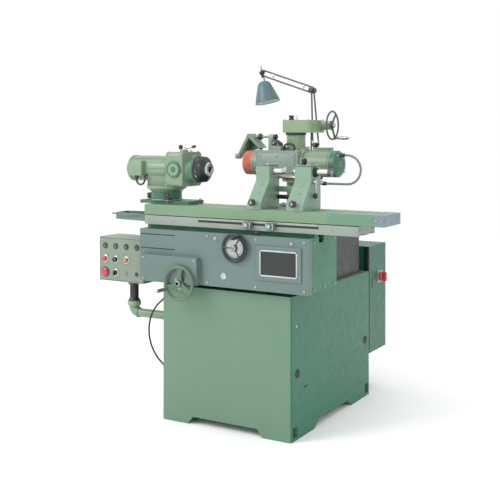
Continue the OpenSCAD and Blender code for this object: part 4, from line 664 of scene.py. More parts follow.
def lamp():
    """Post, two pairs of rods with a knuckle between them, and a spun shade with a rolled rim."""
    joint, elbow, tip = Vector((77, 300, 1160.3)), Vector((61, 300, 1421.5)), Vector((-215.7, 300, 1514.6))
    lean, climb, nod = -3.5, 18.6, -13
    knuckle = [(0, 14), (1, 15), (9, 15), (10, 14)]
    post = Piece("lamp_stand", "lamp_base", lamp_enamel, steel)
    post.turned(POST, UP, [(785, 11), (1115, 11), (1117, 12), (1123, 14.4), (1138, 14.6), (1143.5, 13),
                           (1144.8, 10)], 0, 40)
    post.turned(POST, UP, [(825, 22), (829, 24), (833, 24), (836, 20), (846, 15), (848, 12), (848, 10)], 0, 40)
    post.bolts((77, 300, 832), UP, 18.5, 4, 45, 2.6, 3, 1)
    post.screw((77, 285.6, 1131), FRONT, 4, 6, 1)
    post.done("lamp_post", slot="lamp_steel")

    lower = Piece("lamp_lower_rods", "lamp_lower", lamp_enamel, steel, phenolic)
    lower.turned((joint.x, 295, joint.z), BACK, knuckle, 0, 40)
    lower.place = stand(joint, lean, "Y")
    lower.block((-19.5, -5, 0), (19.5, 5, 10), 2.5)
    for side in (-1, 1):
        foot, top = Vector((15 * side, 0, 6)), Vector((6.2 * side, 0, 257))
        lower.tube([foot, foot.lerp(top, 0.5), top], 4, 0, 16)
        way = (top - foot).normalized()
        lower.turned(foot + way * 5, way, [(0, 4), (0, 6), (12, 5.6), (14, 4.2)], 1, 20)
    lower.turned((0, -5, 262), BACK, knuckle, 0, 40)
    lower.turned((0, -5, 262), FRONT, [(0, 11), (2, 11), (3, 10), (3, 8)], 2, 32)
    knurled(lower, (0, -8, 262), FRONT, 9.5, 0, 8, 20, 1, 2)
    lower.turned((0, -16, 262), FRONT, [(0, 8.4), (1.2, 6), (1.2, 0)], 2, 24)
    lower.place = Matrix()
    lower.turned((joint.x, 295, joint.z), FRONT, [(0, 10), (2, 10), (2.5, 8), (8, 8), (9, 6.5), (9, 0)], 2, 24)
    lower.done("lamp_lower_arm", slot="lamp_steel")

    upper = Piece("lamp_upper_rods", "lamp_upper", lamp_enamel, steel, black_enamel)
    upper.turned((elbow.x, 305.4, elbow.z), BACK, [(0, 14), (1, 15), (8.6, 15), (9.6, 14)], 2, 40)
    upper.turned((elbow.x, 315, elbow.z), BACK, [(0, 9), (3, 9), (4, 7), (4, 0)], 1, 6)
    upper.place = stand(elbow, climb, "Y")
    upper.block((-28, 5.6, -15), (6, 14.4, 15), 4, 2)
    for side in (-1, 1):
        upper.tube([(-290, 10, side * 13), (-150, 10, side * 13), (-6, 10, side * 13)], 4, 0, 16)
    upper.block((-306, 5.6, -14), (-282, 14.4, 14), 4, 2)
    for x in (-60, -235):
        upper.block((x, 6, -13), (x + 8, 14, 13), 2, 1)
    upper.place = stand(elbow, climb, "Y") @ stand((-292, 0, 0))
    upper.tube([(-6, 10, 12), (-16, 10, 16), (-20, 10, 30)], [3, 2.4, 2], 0, 12)
    upper.done("lamp_upper_arm", slot="lamp_steel")

    shade = Piece("lamp_spun_shade", "lamp_head", shade_enamel, white_enamel, black_enamel, steel)
    shade.place = stand(tip, nod, "Y")
    shade.turned((0, -5, 0), BACK, [(0, 9.5), (1, 10.5), (9, 10.5), (10, 9.5)], 2, 32)
    knurled(shade, (0, -5, 0), FRONT, 8.5, 0, 7, 18, 0.9, 2)
    shade.block((-5, -5, -34), (5, 5, 0), 1.5, 2)
    shade.spun([(-26, 6), (-26.5, 9), (-28, 10), (-44, 10), (-45, 10)], 3, 36)
    outside = [(-44, 12), (-46, 19), (-51, 26), (-60, 32.5), (-66, 34.2), (-100, 46.5), (-130, 56), (-146.5, 61)]
    rim = [(-148.6, 61.9), (-149.2, 60.8), (-148, 60)]
    inside = [(z, r - 1.6) for z, r in reversed(outside[1:])] + [(-47.5, 8)]
    shade.spun([(-44, 8)] + outside + rim + inside, 0, 72, closed=True)
    shade.spun([(z, r - 1.9) for z, r in outside[3:]] + [(z, r - 2.3) for z, r in reversed(outside[3:])], 1,
               72, closed=True)
    for c, s in round_about(8):
        way = Vector((c, s, 0))
        shade.turned(way * 22.3 + Vector((0, 0, -48.3)), way * 0.5 + Vector((0, 0, 0.8)),
                     [(-0.3, 2.6), (0.35, 2.6), (0.35, 0)], 2, 16)
    shade.done("lamp_shade", slot="shade_paint")

    bulb = Piece("lamp_frosted_bulb", "lamp_head", bulb_glass, steel)
    bulb.place = stand(tip, nod, "Y")
    ball = [(-96.5 + 24 * c, 24 * s) for c, s in sweep(16, 36, 180)]
    bulb.spun([(-62, 11.4), (-70, 12), *ball], 0, 40)
    bulb.spun([(-46, 12), (-50, 12), (-52, 13), (-54, 12), (-56, 13), (-58, 12), (-62, 12)], 1, 40)
    bulb.done("lamp_bulb", slot="bulb_glass")


lamp()


# The cover over the ways: pleats of coated cloth between the cross slide and the pedestal

def bellows():
    folds, start, end, pleat = 22, -174, 41.7, 6.5
    right = [(100, 773), (200, 773), (276, 772.5), (282, 770), (285, 764), (285, 700), (285, 600), (285, 576)]
    across = [(-x, z) for x, z in reversed(right)] + [(0, 773)] + right
    mesh = bpy.data.meshes.new("way_cover")
    steps = folds * 4
    spots, faces = [], []
    for i in range(steps + 1):
        deep = pleat * abs(((i / 4) % 1) * 2 - 1) ** 0.8 if 0 < i < steps else pleat
        y = start + (end - start) * i / steps
        for x, z in across:
            push = Vector((x, 0, z - 640)).normalized() if abs(x) > 270 else Vector(UP)
            if abs(x) > 284:
                push = Vector((copysign(1, x), 0, 0))
            spots.append((Vector((x, y, z)) - push * deep + Vector((0, 0, 5 if z > 760 else 0))) * MM)
    for i in range(steps):
        for j in range(len(across) - 1):
            a = i * len(across) + j
            faces.append((a, a + 1, a + 1 + len(across), a + len(across)))
    mesh.from_pydata(spots, [], faces)
    mesh.shade_smooth()
    mesh.set_sharp_from_angle(angle=radians(28))
    mesh.materials.append(black_cloth)
    cover = put("way_cover", mesh)
    cloth = cover.modifiers.new("cloth", "SOLIDIFY")
    cloth.thickness = 1.2 * MM
    cloth.offset = -1
    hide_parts("way_bellows")
    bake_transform(cover)
    frames = Piece("way_cover_frame", "cross_slide", black_enamel, steel)
    frames.plate([(-289, 597.5), (-289, 777), (289, 777), (289, 597.5), (280, 597.5), (280, 764), (-280, 764),
                  (-280, 597.5)], "Y", -174.2, -171.5, 0.5)
    frames.screws((-240, -80, 80, 240), (-171.6,), (770,), BACK, 3.4, 2, 1)
    frames.done(slot="black_paint")


bellows()


# Control box

def control_station():
    """Sheet steel box: black strips round its lid as a painted shadow gap, collared controls, a gland plate and a
    small grey blank.
    """
    columns, rows = (-654.7, -595.9, -537.1, -478.2), (596.4, 655.5, 714.6)
    trim = Piece("control_box_trim", "panel", box_enamel, black_enamel, steel, phenolic, sleeve_grey)
    # Black strips round the lid stand for its gap: painted shade, no real gap is cut. The black bars across the
    # corner screws are painted shade in their slots.
    trim.edging((-684, -355.25, 562), (-446, -354.6, 749), 1.2, 0.1, 1, 1)
    for x in (-676, -454):
        for z in (570, 741):
            trim.turned((x, BOX_FACE, z), FRONT, [(-0.5, 4.6), (1, 4.6), (2, 3.6), (2.2, 0)], 2, 24)
            trim.block((x - 3.4, -357.35, z - 0.5), (x + 3.4, -357.0, z + 0.5), 0.1, 1, 1)
    for column, row in ((0, 1), (1, 1), (2, 1), (1, 0)):
        trim.ring((columns[column], BOX_FACE, rows[row]), FRONT,
                  [(-0.2, 12), (-0.2, 17), (1.2, 16.8), (2.6, 15), (3.2, 13.4), (3.2, 12)], 2, 44)
    trim.ring((columns[0], BOX_FACE, rows[0]), FRONT,
              [(-0.2, 19.6), (-0.2, 23), (1, 22.6), (1.6, 21), (1.6, 19.6)], 3, 48)
    for column, finish in ((2, 4), (3, 3)):
        trim.turned((columns[column], BOX_FACE, rows[0]), FRONT,
                    [(-0.2, 9), (2, 9), (3.4, 8), (3.4, 5), (2.6, 4.4), (2.6, 0)], finish, 32)
    trim.block((-600, -330, 553.5), (-490, -240, 557.9), 1.2, 1)
    trim.turned(PIPE, UP, [(553.8, 31), (549, 31), (547.5, 29.5), (541, 28), (539, 25), (539, 19.8)], 3, 6)
    trim.turned(PIPE, UP, [(468, 20.2), (468, 26), (474, 25), (478, 22), (478, 20.2)], 3, 36)
    trim.screws((-592, -498), (-322, -248), (553.6,), DOWN, 3.2, 3, 2)
    for z in (600, 700):
        trim.block((-441, -343, z), (-437.4, -327, z + 26), 1, 0)
        trim.tube([(-437.6, -344.5, z - 1), (-437.6, -344.5, z + 27)], 3.2, 2, 14)
    trim.done(slot="black_plastic")
    lamps = Piece("control_lenses", "panel", green_lens, phenolic)
    for x in columns:
        lamps.ring((x, BOX_FACE, rows[2]), FRONT,
                   [(-0.2, 8.8), (-0.2, 13.4), (1.2, 13.4), (3.2, 12), (3.4, 8.8)], 1, 40)
        lamps.turned((x, BOX_FACE, rows[2]), FRONT,
                     [(0, 8.6), (3.2, 8.6), (4.4, 7.8), (5.3, 5.4), (5.6, 2), (5.6, 0)], 0, 36)
    lamps.done("control_lamps", slot="lamp_green")
    for name, node, body, x, finish, slot in (
            ("left_cap", "push_button_left", "button_left", columns[0], red_moulding, "red_plastic"),
            ("middle_cap", "push_button_middle", "button_middle", columns[1], phenolic, "black_plastic"),
            ("right_cap", "push_button_right", "button_right", columns[2], amber_moulding, "amber_plastic")):
        cap = Piece(name, body, finish, steel)
        cap.turned((x, CAP_FOOT, rows[1]), FRONT,
                   [(0, 5), (0, 11), (5.8, 11), (7.2, 10.4), (8, 8.8), (7.3, 6), (7.1, 0)], 0, 40)
        cap.turned((x, CAP_FOOT, rows[1]), FRONT, [(-20.3, 0), (-20.3, 4), (-19.3, 5), (0.5, 5)], 1, 24)
        cap.done(node, slot=slot)
    stop = Piece("stop_mushroom", "stop_button", red_moulding, steel)
    stop.turned((columns[0], CAP_FOOT, rows[0]), FRONT,
                [(0, 5), (0, 15), (0.6, 17.6), (2, 18.7), (3.6, 18.5), (5.6, 16.4), (7.2, 12), (7.9, 6),
                 (8, 0)], 0, 56)
    stop.turned((columns[0], CAP_FOOT, rows[0]), FRONT, [(-20.3, 0), (-20.3, 5), (-19.3, 6), (0.4, 6)], 1, 24)
    stop.done("emergency_stop", slot="red_plastic")
    turn = Piece("selector_knob", "selector", phenolic, steel, white_enamel)
    at = (columns[1], BOX_FACE, rows[0])
    turn.turned(at, FRONT, [(0.3, 9), (0.3, 11), (8, 11), (10, 10), (11, 8.6), (11, 0)], 0, 40)
    turn.turned(at, FRONT, [(-16, 0), (-16, 4), (-15, 5), (0.5, 5)], 1, 24)
    turn.block((at[0] - 2.75, -373.7, at[2] - 11), (at[0] + 2.75, -364.5, at[2] + 11), 1.6, 0)
    turn.block((at[0] - 0.6, -373.95, at[2] + 2), (at[0] + 0.6, -373.3, at[2] + 10), 0.15, 2, 1)
    turn.done("selector_switch", slot="black_plastic")


control_station()


# Work head

def work_head():
    """Chuck, graduated ring, index disc, motor seams and its terminal box, on the swivelling head."""
    chuck = Piece("collet_chuck", "work_spindle_body", black_enamel, steel)
    chuck.ring(WORK_LINE, RIGHT, [(-193, 12.3), (-193, 49), (-191, 52), (-190, 54.6), (-171, 54.6),
                                  (-169, 53), (-167, 53), (-166, 54.8), (-160, 54), (-152, 44), (-149, 37),
                                  (-145, 34), (-145, 12.3)], 0, 72)
    knurled(chuck, (-189, -287, 1064), RIGHT, 56, 0, 17, 84, 1.2, 0)
    chuck.ring(WORK_LINE, RIGHT, [(-146, 12.3), (-146, 31), (-141, 30), (-138, 28.5), (-137, 26.5),
                                  (-137, 15), (-139, 12.3)], 1, 60)
    for i in range(3):
        chuck.place = stand(WORK_LINE, 120 * i, "X")
        chuck.turned((-180, 0, 55), UP, [(0, 5), (1.4, 5), (1.4, 2.4), (0.2, 2.4), (0.2, 0)], 1, 20)
    chuck.done("spindle_nose", slot="black_paint")

    trim = Piece("work_head_trim", "work_head", dark_enamel, steel, black_enamel, green_enamel, aluminium, phenolic)
    trim.ring(WORK_LINE, RIGHT, [(-216, 60.2), (-216, 61.6), (-214, 62.4), (-199, 62.4), (-197, 61.4),
                                 (-196, 58), (-196, 45), (-216, 45)], 0, 72)
    for i in range(36):
        trim.place = stand(WORK_LINE, 10 * i, "X")
        trim.block((-206 - (2 if i % 3 else 5), -0.4, 62), (-199, 0.4, 62.7), 0.1, 4, 1)
    trim.place = Matrix()
    for x, wide in ((-541, 10), (-526, 3), (-338, 4), (-331, 10)):
        trim.band(WORK_LINE, RIGHT, x, wide, (55, 56.8, 57.6), 3)
    trim.ribs(WORK_LINE, (38, 62, 86, 110, -40, -60), (-520, -1.8, 55), (-342, 1.8, 58.6), 1.2, 3)
    trim.turned((-543, -287, 1064), LEFT, [(-1, 48), (1.5, 48), (4, 44), (6, 36), (8.3, 20), (8.3, 0)], 0, 56)
    trim.bolts((-543, -287, 1064), LEFT, 49.5, 4, 45, 3, 3, 1)
    trim.block((-517, -364.4, 1034), (-446, -361.4, 1100), 1.2, 3)
    trim.screws((-511, -452), (-364.2,), (1040, 1094), FRONT, 2.6, 2.4, 1)
    trim.turned((-482, -351, 1036), DOWN, [(0, 9), (8, 9), (9, 8), (9, 10.5), (14, 10.5), (15, 8.4), (19, 6)], 5, 24)
    arch = [(-482 + 22 * (1 - c), -351, 1016 - 22 * s) for c, s in sweep(14, 0, 180)]
    trim.tube([*arch, (-438, -348, 1030), (-438, -338, 1036)], 4.4, 5, 14)
    trim.turned((-275, -369, 1064), FRONT,
                [(-7.8, 34.4), (-1, 34.4), (0.3, 33), (0.3, 27), (-0.6, 26), (-0.6, 12), (2, 11), (4, 9),
                 (4, 0)], 0, 64)
    for c, s in round_about(24):
        trim.turned((-275 + 29.8 * c, -369.3, 1064 + 29.8 * s), FRONT, [(-0.2, 1.5), (0.12, 1.5), (0.12, 0)], 2, 12)
    trim.screws((-312, -238), (-361,), (998, 1130), FRONT, 4, 3.5, 1)
    trim.screws((-308, -242), (-350, -224), (1138,), UP, 4, 3.5, 1)
    trim.turned((-275, -230, 1138), UP, [(-0.5, 7), (3, 7), (3, 5), (9, 5), (10, 4), (10, 0)], 1, 24)
    trim.done(slot="dark_green_paint")

    lever = Piece("clamp_handle", "head_clamp", phenolic, steel)
    lever.turned((-252, -311.7, 1146.3), UP, [(0, 9), (1, 10), (9, 10), (12, 8.6), (14, 6), (15, 0)], 1, 32)
    lever.tube([(-250, -311.7, 1153), (-236, -311.7, 1156.5), (-214, -311.7, 1160.5)], [4.6, 4, 3.4], 1, 14)
    lever.turned((-214, -311.7, 1160.5), (1, 0, 0.18),
                 [(-1, 3.6), (0, 4.6), (4, 6), (10, 7.2), (15, 6.4), (18.5, 3.6), (19.2, 0)], 0, 24)
    lever.done("clamp_lever", slot="black_plastic")

    plunger = (-290, -287, 0)
    pin = Piece("index_knob", "index", phenolic, steel)
    pin.turned(plunger, UP, [(1113, 0), (1113.5, 3), (1116, 4.6), (1150, 4.6), (1150, 0)], 1, 24)
    knurled(pin, (-290, -287, 1150), UP, 9, 1, 15, 28, 0.8)
    pin.turned(plunger, UP, [(1150.4, 6), (1164.6, 8.2), (1167, 7.6), (1168.8, 5), (1169, 0)], 0, 28)
    pin.done("index_plunger", slot="black_plastic")

    for name, body, at, way, size, node in (
            ("clamp_nuts", "swivel_table", ((-450, -287, 928), (-310.4, -352.1, 928)), None, (18, 30),
             "workhead_nuts"),
            ("tail_knobs", "swivel_table", ((139, -395, 942), (323, -395, 942)), front_way, (15, 24),
             "tailstock_knobs")):
        knobs = Piece(name, body, phenolic, steel)
        for spot in at:
            knobs.place = stand(spot) @ (way or Matrix())
            radius, tall = size
            knobs.spun([(0.3, radius * 0.62), (1, radius * 0.66), (4, radius * 0.6), (5, radius * 0.5)], 1, 32)
            knobs.plate(lobes(7, radius * 0.8, radius, 7), "Z", 4, tall - 3, 1.8, 0)
            knobs.spun([(tall - 4, radius * 0.62), (tall - 1.4, radius * 0.58), (tall - 0.6, radius * 0.45),
                        (tall - 0.6, radius * 0.3)], 0, 32)
            knobs.spun([(tall - 3, radius * 0.28), (tall - 0.4, radius * 0.28), (tall, radius * 0.2),
                        (tall, 0)], 1, 24)
        knobs.done(node, slot="black_plastic")

    swivel = (-365, -287, 0)
    plate = Piece("work_head_base_trim", "swivel_table", dark_enamel, aluminium, black_enamel, steel)
    plate.ring(swivel, UP, [(928.2, 66), (928.2, 70.5), (931, 70.5), (933, 68.5), (933, 66)], 1, 80)
    for i in range(-30, 31):
        plate.place = stand(swivel, -90 + i * 3)
        plate.block((68.2 if i % 5 else 66.6, -0.3, 933), (70.2, 0.3, 933.25), 0.05, 2, 1)
    plate.place = Matrix()
    plate.screws((-458, -218), (-240,), (928,), UP, 6, 6, 3)
    plate.done(slot="steel")


work_head()


# Tailstocks

def tailstocks():
    """Cap plates, oil cups, a locking knob, the tie bar behind the centres, the lever and the quill's cap."""
    trim = Piece("tailstock_trim", "swivel_table", apron_enamel, phenolic, steel, tail_enamel, black_enamel)
    for low, high in ((110, 168), (288, 358)):
        trim.block((low, -318, 1084.6), (high, -238, 1091), 2, 0)
        trim.screws((low + 8, high - 8), (-310, -246), (1090.8,), UP, 3.6, 3.4, 2)
        middle = (low + high) / 2
        trim.turned((middle, -278, 1091), UP,
                    [(-0.5, 6), (2, 6), (3, 5), (3, 3.2), (5, 3.2), (6, 2.4), (6, 0)], 2, 24)
        for z in (980, 1010):
            y = -320 - (1026 - z) * 75 / 92
            trim.screw((middle, y, z), (0, -0.775, 0.632), 5, 4, 2)
        trim.block((low + 6, -233.8, 930), (high - 6, -231.6, 1040), 1, 3)
    knurled(trim, (302, -262, 1091), UP, 10.5, 4, 24, 32, 1, 1)
    trim.turned((302, -262, 1091), UP, [(-0.5, 6), (4.5, 6), (4.5, 8), (24, 9), (26, 7.4), (26.4, 0)], 1, 32)
    trim.block((170, -252, 978), (286, -242, 1001), 2, 3)
    for z, radius, finish in ((1038, 6, 2), (957, 9, 4)):
        trim.tube([(169, -247, z), (228, -247, z), (287, -247, z)], radius, finish, 20)
    trim.screws((180, 276), (-252,), (989.5,), FRONT, 4, 3.5, 2)
    for x, r in ((361, 21), (366, 19), (371, 17)):
        trim.ring((x, -287, 1064), RIGHT,
                  [(-1.4, 14), (-1.4, r), (0, r + 0.8), (2.6, r + 0.8), (4, r), (4, 14)], 4, 48)
    trim.screws((120, 158, 296, 350), (-388,), (914.5,), UP, 4, 3, 2)
    trim.done(slot="grey_paint")

    end = (422, -287, 1064)
    cap = Piece("quill_cap", "tail_quill", phenolic, steel)
    knurled(cap, end, RIGHT, 16.2, -1, 12, 36, 0.8)
    cap.turned(end, RIGHT, [(-2, 13.6), (-1.4, 15.4), (12, 15.8), (13.2, 14), (13.2, 6), (12.4, 5.4),
                            (12.4, 0)], 0, 40)
    cap.done(slot="black_plastic")

    lever = Piece("quill_handle", "tail_lever", phenolic, steel)
    lever.turned((360.4, -300, 1026), RIGHT, [(0, 8), (1, 9.8), (10, 9.8), (12, 8.6), (13, 6), (13, 0)], 1, 32)
    lever.tube([(369, -300, 1024), (371.5, -302, 1010), (372.5, -303, 994), (371, -301, 980)],
               [4.2, 3.8, 3.4, 3.2], 1, 14)
    lever.turned((371, -301, 980), (-0.05, 0.06, -1),
                 [(-1, 3.6), (0, 5), (3, 7.6), (8, 9.4), (13, 9.6), (18, 8), (21, 4.4), (21.8, 0)], 0, 28)
    lever.done("quill_lever", slot="black_plastic")


tailstocks()


# Wheel head

def wheel_head():
    """Bolted front plate, a sight glass, the black arch and sloped clamp on top, and motor details."""
    trim = Piece("wheel_head_trim", "head", head_enamel, black_enamel, steel, green_lens, dark_enamel, green_enamel)
    trim.block((-24, -73, 1043), (158, -69.4, 1131), 2, 0)
    trim.screws((-15, 67, 149), (-72.8,), (1052, 1122), FRONT, 4, 3.6, 2)
    trim.turned((112, -73, 1064), FRONT, [(-0.4, 9.6), (1.4, 9.6), (2.4, 8.6), (2.4, 6.4)], 2, 36)
    trim.turned((112, -73, 1064), FRONT, [(0, 6.6), (1.6, 6.4), (2.1, 4), (2.2, 0)], 3, 32)
    trim.plate([(12, 1163), (58, 1163), (58, 1174), (34, 1190), (12, 1194)], "Y", -15, 11, 2, 1)
    trim.tube([(72, -8, 1141), (72, -8, 1158), (78, -8, 1168), (90, -8, 1173), (106, -8, 1173),
               (118, -8, 1168), (124, -8, 1158), (124, -8, 1141)], 5, 1, 16)
    for x in (72, 124):
        trim.turned((x, -8, 1143), UP, [(-0.6, 9.4), (3, 9.4), (4, 8.4), (4, 4)], 1, 28)
    trim.screw((24, -15, 1177), FRONT, 5, 5, 2)
    trim.screw((45, -15, 1170), FRONT, 3.4, 4, 2)
    trim.screws((-24, 158), (-58, 60), (1143,), UP, 4.4, 4, 2)
    trim.turned((140, 35, 1143), UP, [(-0.4, 8), (4, 8), (5, 7), (5, 5), (11, 5), (12, 4), (12, 0)], 2, 6)
    trim.bolts((-72, 0, 1087), LEFT, 50, 6, 30, 2.6, 1.4, 2)
    trim.band(GRIND_LINE, RIGHT, -66, 6, (56.5, 58, 58.6), 0, 80)
    trim.bolts((184, 0, 1087), RIGHT, 57, 8, 22.5, 3, 3, 2)
    for x, wide in ((194, 5), (296, 5), (303, 7)):
        trim.band(GRIND_LINE, RIGHT, x, wide, (54, 56, 57), 5, 80)
    trim.ribs(GRIND_LINE, (*range(96, 264, 14), -70, -84), (201, -1.5, 53.5), (294, 1.5, 57.6), 1, 5)
    trim.block((208, -3, 1152.4), (285, 58, 1156.6), 1.6, 5)
    trim.screws((214, 279), (3, 52), (1156.2,), UP, 2.8, 2.6, 2)
    trim.turned((344, 0, 1087), RIGHT, [(-1.5, 44), (0.6, 44), (1.6, 42), (1.6, 12), (0.8, 10), (0.8, 0)], 4, 64)
    trim.ribs((344, 0, 1087), range(0, 360, 30), (1.3, -2, 16), (1.9, 2, 38), 0.2, 1, 1)
    trim.bolts((344, 0, 1087), RIGHT, 51, 4, 45, 3, 3, 2)
    trim.done(slot="grey_paint")

    wheel = Piece("wheel_flanges", "grinding_spindle", black_enamel, steel, sleeve_grey)
    wheel.ring(GRIND_LINE, RIGHT, [(-73.9, 24.2), (-73.9, 51), (-72.6, 51), (-72.6, 24.2)], 0, 64)
    wheel.ring(GRIND_LINE, RIGHT, [(-116.1, 24.2), (-116.1, 40), (-117, 40), (-117, 24.2)], 2, 64)
    wheel.ring(GRIND_LINE, RIGHT, [(-117, 24.2), (-117, 36), (-118, 37), (-121, 37), (-122, 35), (-122, 24.2)], 0, 64)
    wheel.bolts((-122, 0, 1087), LEFT, 30, 4, 0, 3, 2.4, 1)
    wheel.done(slot="black_paint")

    hood = Piece("hood_panel", "guard", dark_enamel, head_enamel, steel, black_enamel)
    hood.plate([(-152, 1118), (-108, 1192), (-60, 1154), (-68, 1140), (-104, 1166)], "Y", 33, 38, 0.8, 0)
    hood.block((-177, -16, 1103), (-153, 8, 1127), 2.4, 1)
    hood.screw((-165, -16, 1115), FRONT, 4.4, 4, 2)
    hood.turned((-56, 15, 1203), RIGHT, [(-14, 12.3), (-12, 14), (0, 14), (2, 12.3)], 3, 32)
    hood.screw((-63, 15, 1216.5), UP, 3.6, 4.5, 2)
    hood.turned((15, 15, 1203), RIGHT, [(-0.4, 12), (1, 13.4), (7, 13.4), (8, 12), (8, 0)], 3, 6)
    hood.done(slot="dark_green_paint")


wheel_head()


# Table, cross slide, base and top arm

def table_trim():
    """A rule along the front, screws, a darker green panel on the front right and the end block of the upper table,
    dogs and stop.
    """
    rule = Piece("table_rule", "table", aluminium, black_enamel, steel)
    rule.block((-122, -400.9, 859.6), (430, -399.6, 866), 0.3, 0, 1)
    rule.block((-124.6, -398.6, 849.4), (431.6, -396, 857.8), 0.3, 1, 1)
    for i in range(56):
        low = 862.6 if i % 5 else 860.8
        rule.block((-121 + i * 10, -401.05, low), (-120.5 + i * 10, -400.8, 865.8), 0.05, 1, 1)
    rule.screws((-380, -260, 480, 580), (-400,), (848,), FRONT, 4, 3.6, 2)
    rule.screws((596,), (-380, -255), (848,), RIGHT, 4.4, 3.6, 2)
    rule.done(slot="steel")
    upper = Piece("upper_table_patch", "swivel_table", patch_enamel, steel)
    # A darker green panel over the front right of the upper table.
    upper.block((468, -400.7, 871.5), (655.6, -399.6, 912.6), 0.4, 0, 1)
    upper.screws((478, 646), (-400.6,), (878, 906), FRONT, 2.6, 2.2, 1)
    upper.screws((702,), (-385, -250), (892,), RIGHT, 5, 4, 1)
    upper.screws((668, 690), (-400,), (892,), FRONT, 4, 3.4, 1)
    upper.done(slot="dark_green_paint")
    dogs = Piece("dog_screws", "table", phenolic, steel, aluminium)
    for x in (120, 225):
        dogs.turned((x, -420, 851), FRONT, [(-0.4, 6.5), (1, 6.5), (2, 9), (8, 9), (9, 8), (9, 0)], 1, 6)
        for x0 in (x - 17.4, x + 12):
            dogs.block((x0, -421, 838), (x0 + 5.4, -419.4, 861), 0.6, 2)
    dogs.done(slot="black_plastic")
    pin = (165, -415, 0)
    stop = Piece("stop_knob", "stop", phenolic, steel)
    stop.turned(pin, UP, [(772.5, 0), (772.5, 4), (812, 4), (812, 5), (813, 5)], 1, 24)
    knurled(stop, (165, -415, 812), UP, 9, 1.5, 12, 28, 0.8)
    stop.turned(pin, UP, [(813, 7), (824, 8), (827, 7), (829, 4), (829, 0)], 0, 28)
    stop.done("stop_plunger", slot="black_plastic")
    tray = Piece("tray_trim", "table", apron_enamel, steel)
    tray.screws((-420,), (-370, -265), (868,), UP, 4, 3.4, 1)
    tray.block((-588, -389.4, 862), (-402, -387, 868.6), 1, 0)
    tray.done(slot="grey_paint")


def cross_slide_trim():
    """Two black strips at the apron's left, painted shade in its grooves, screws, oil cups, sight glass and the bare
    plate's bright frame.
    """
    trim = Piece("apron_trim", "cross_slide", black_enamel, steel, green_lens, aluminium, frame_aluminium)
    # Two grooves at the apron's left drawn as black strips: painted shade.
    for z in (788.4, 729.4):
        trim.block((-402.6, -428.6, z), (-222.4, -426.4, z + 3.2), 0.2, 0, 1)
    trim.screws((-366, -108), (FEED_BOX,), (606, 694), FRONT, 4.4, 4, 1)
    trim.screws((-60, 170, 385), (APRON,), (608, 798), FRONT, 4.6, 4, 1)
    trim.turned((-175, FEED_BOX, 600), FRONT, [(-0.4, 30), (0.1, 30), (0.1, 17)], 3, 60)
    for x in (-20, 330):
        trim.turned((x, APRON, 790), FRONT, [(-0.4, 7), (3, 7), (4, 6), (4, 4.4), (8, 4.4), (9, 3.4), (9, 0)], 1, 24)
    trim.turned((20, APRON, 640), FRONT, [(-0.4, 14), (2.4, 14), (3.6, 12.6), (3.6, 9.4)], 1, 48)
    trim.turned((20, APRON, 640), FRONT, [(0, 9.6), (2.4, 9.4), (3, 6), (3.1, 0)], 2, 40)
    trim.edging((189, -436.4, 655), (357, -431.6, 759), 5.6, 1, 4)
    for x, way in ((403, RIGHT), (-403, LEFT)):
        trim.screws((x,), (-380, -290, -200), (612, 796), way, 4.4, 4, 1)
    trim.done(slot="steel")


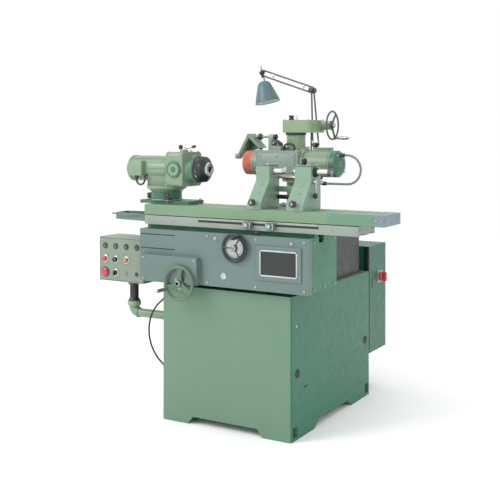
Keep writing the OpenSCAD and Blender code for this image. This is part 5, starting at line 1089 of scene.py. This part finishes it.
def base_trim():
    """Lifting plugs, service points in the side, the isolator, the cabinet's lock, and the arm's knob and pin."""
    plugs = Piece("crane_hole_plugs", "base", cable_rubber)
    for side in (-1, 1):
        for y in (-340.9, 340.9):
            plugs.turned((310 * side, y, 263), (side, 0, 0),
                         [(-6, 0), (-6, 15), (-0.4, 15), (-0.4, 17.4), (0.4, 18), (1.8, 17.6), (2.4, 16),
                          (1.4, 13), (1.2, 0)], 0, 40)
    plugs.done("lifting_plugs", slot="black_rubber")
    trim = Piece("base_trim", "base", black_enamel, steel, aluminium, phenolic, column_enamel)
    # A slot in the right side drawn as a black strip: painted shade in the slot.
    trim.block((309, -284, 192), (310.9, -250, 200), 0.6, 0)
    # A black sheet between the pedestal's right side and the base's edge: painted deep shade.
    trim.block((286, 388, 576), (309.4, 394.8, 688), 1, 0)
    trim.turned((310, -351, 453), RIGHT, [(-0.4, 6), (1.4, 6), (2.2, 5), (2.2, 0)], 1, 24)
    trim.block((309.4, 424, 488), (311.6, 430, 534), 0.8, 0)
    trim.block((309.2, 496, 503), (311.4, 554, 561), 1, 2)
    trim.screws((311.2,), (501, 549), (508, 556), RIGHT, 2, 1.6, 1)
    trim.screws((310,), (405, 570), (240, 640), RIGHT, 4, 3.4, 1)
    for side in (-1, 1):
        for y in (-361, 361):
            trim.ring((276 * side, y, 0), UP, [(30, 8), (30, 17), (32.6, 17), (33, 16), (33, 8)], 1, 36)
    trim.turned((47, 110, 0), UP, [(1278.6, 11), (1280, 12.6), (1286, 12.6), (1288, 9), (1290, 9), (1292, 12),
                                   (1298, 12.4), (1301, 9), (1302, 0)], 3, 32)
    trim.turned((73.5, 110, 0), UP, [(1278.6, 4.4), (1298, 4.4), (1300, 3), (1300, 0)], 1, 24)
    trim.screws((32, 152), (72, 215), (1279,), UP, 4.4, 4, 1)
    trim.tube([(108, 190, 824), (108, 190, 1020), (108, 190, 1223)], 3.6, 3, 16)
    trim.turned((108, 190, 825), UP, [(-0.6, 9), (3, 9), (4, 8), (12, 7), (13, 5), (13, 3.4)], 0, 24)
    trim.bolts((70, 110, 899), UP, 66, 6, 0, 4.6, 4, 1)
    trim.turned(PIPE, UP, [(446, 26.6), (446, 30), (448, 31), (464, 31), (466.6, 29), (466.6, 21)], 4, 44)
    trim.turned((-310, -285, 415), LEFT, [(-0.5, 38), (3, 38), (5, 36), (5, 26)], 4, 48)
    trim.bolts((-313, -285, 415), LEFT, 32, 4, 45, 3, 5, 1)
    trim.done(slot="steel")
    knob = Piece("isolator_knob", "isolator", red_moulding, steel)
    knob.turned((310.4, 525, 532), RIGHT,
                [(1.4, 12), (1.4, 21), (2.4, 22), (10, 22), (13, 20), (14, 16), (14, 0)], 0, 48)
    knob.block((322, 518.6, 511), (344.3, 531.4, 553), 4, 0)
    knob.turned((302.4, 525, 532), RIGHT, [(0, 0), (0, 5), (10, 5), (10, 0)], 1, 20)
    knob.done("isolator_switch", slot="red_plastic")
    door = Piece("door_trim", "door", cabinet_enamel, black_enamel, steel)
    for i in range(8):
        door.place = stand((0, 597, 250 + 14 * i), -28, "X")
        door.block((-20, -1.5, -4), (180, 1.5, 5), 1, 0)
    door.place = Matrix()
    door.turned((280, 596, 440), BACK, [(-0.5, 13), (3, 13), (4, 12), (4, 8), (12, 7), (13, 6), (13, 0)], 2, 32)
    door.block((276, 607, 428), (284, 611.6, 452), 1.4, 1)
    door.done(slot="dark_green_paint")


table_trim()
cross_slide_trim()
base_trim()
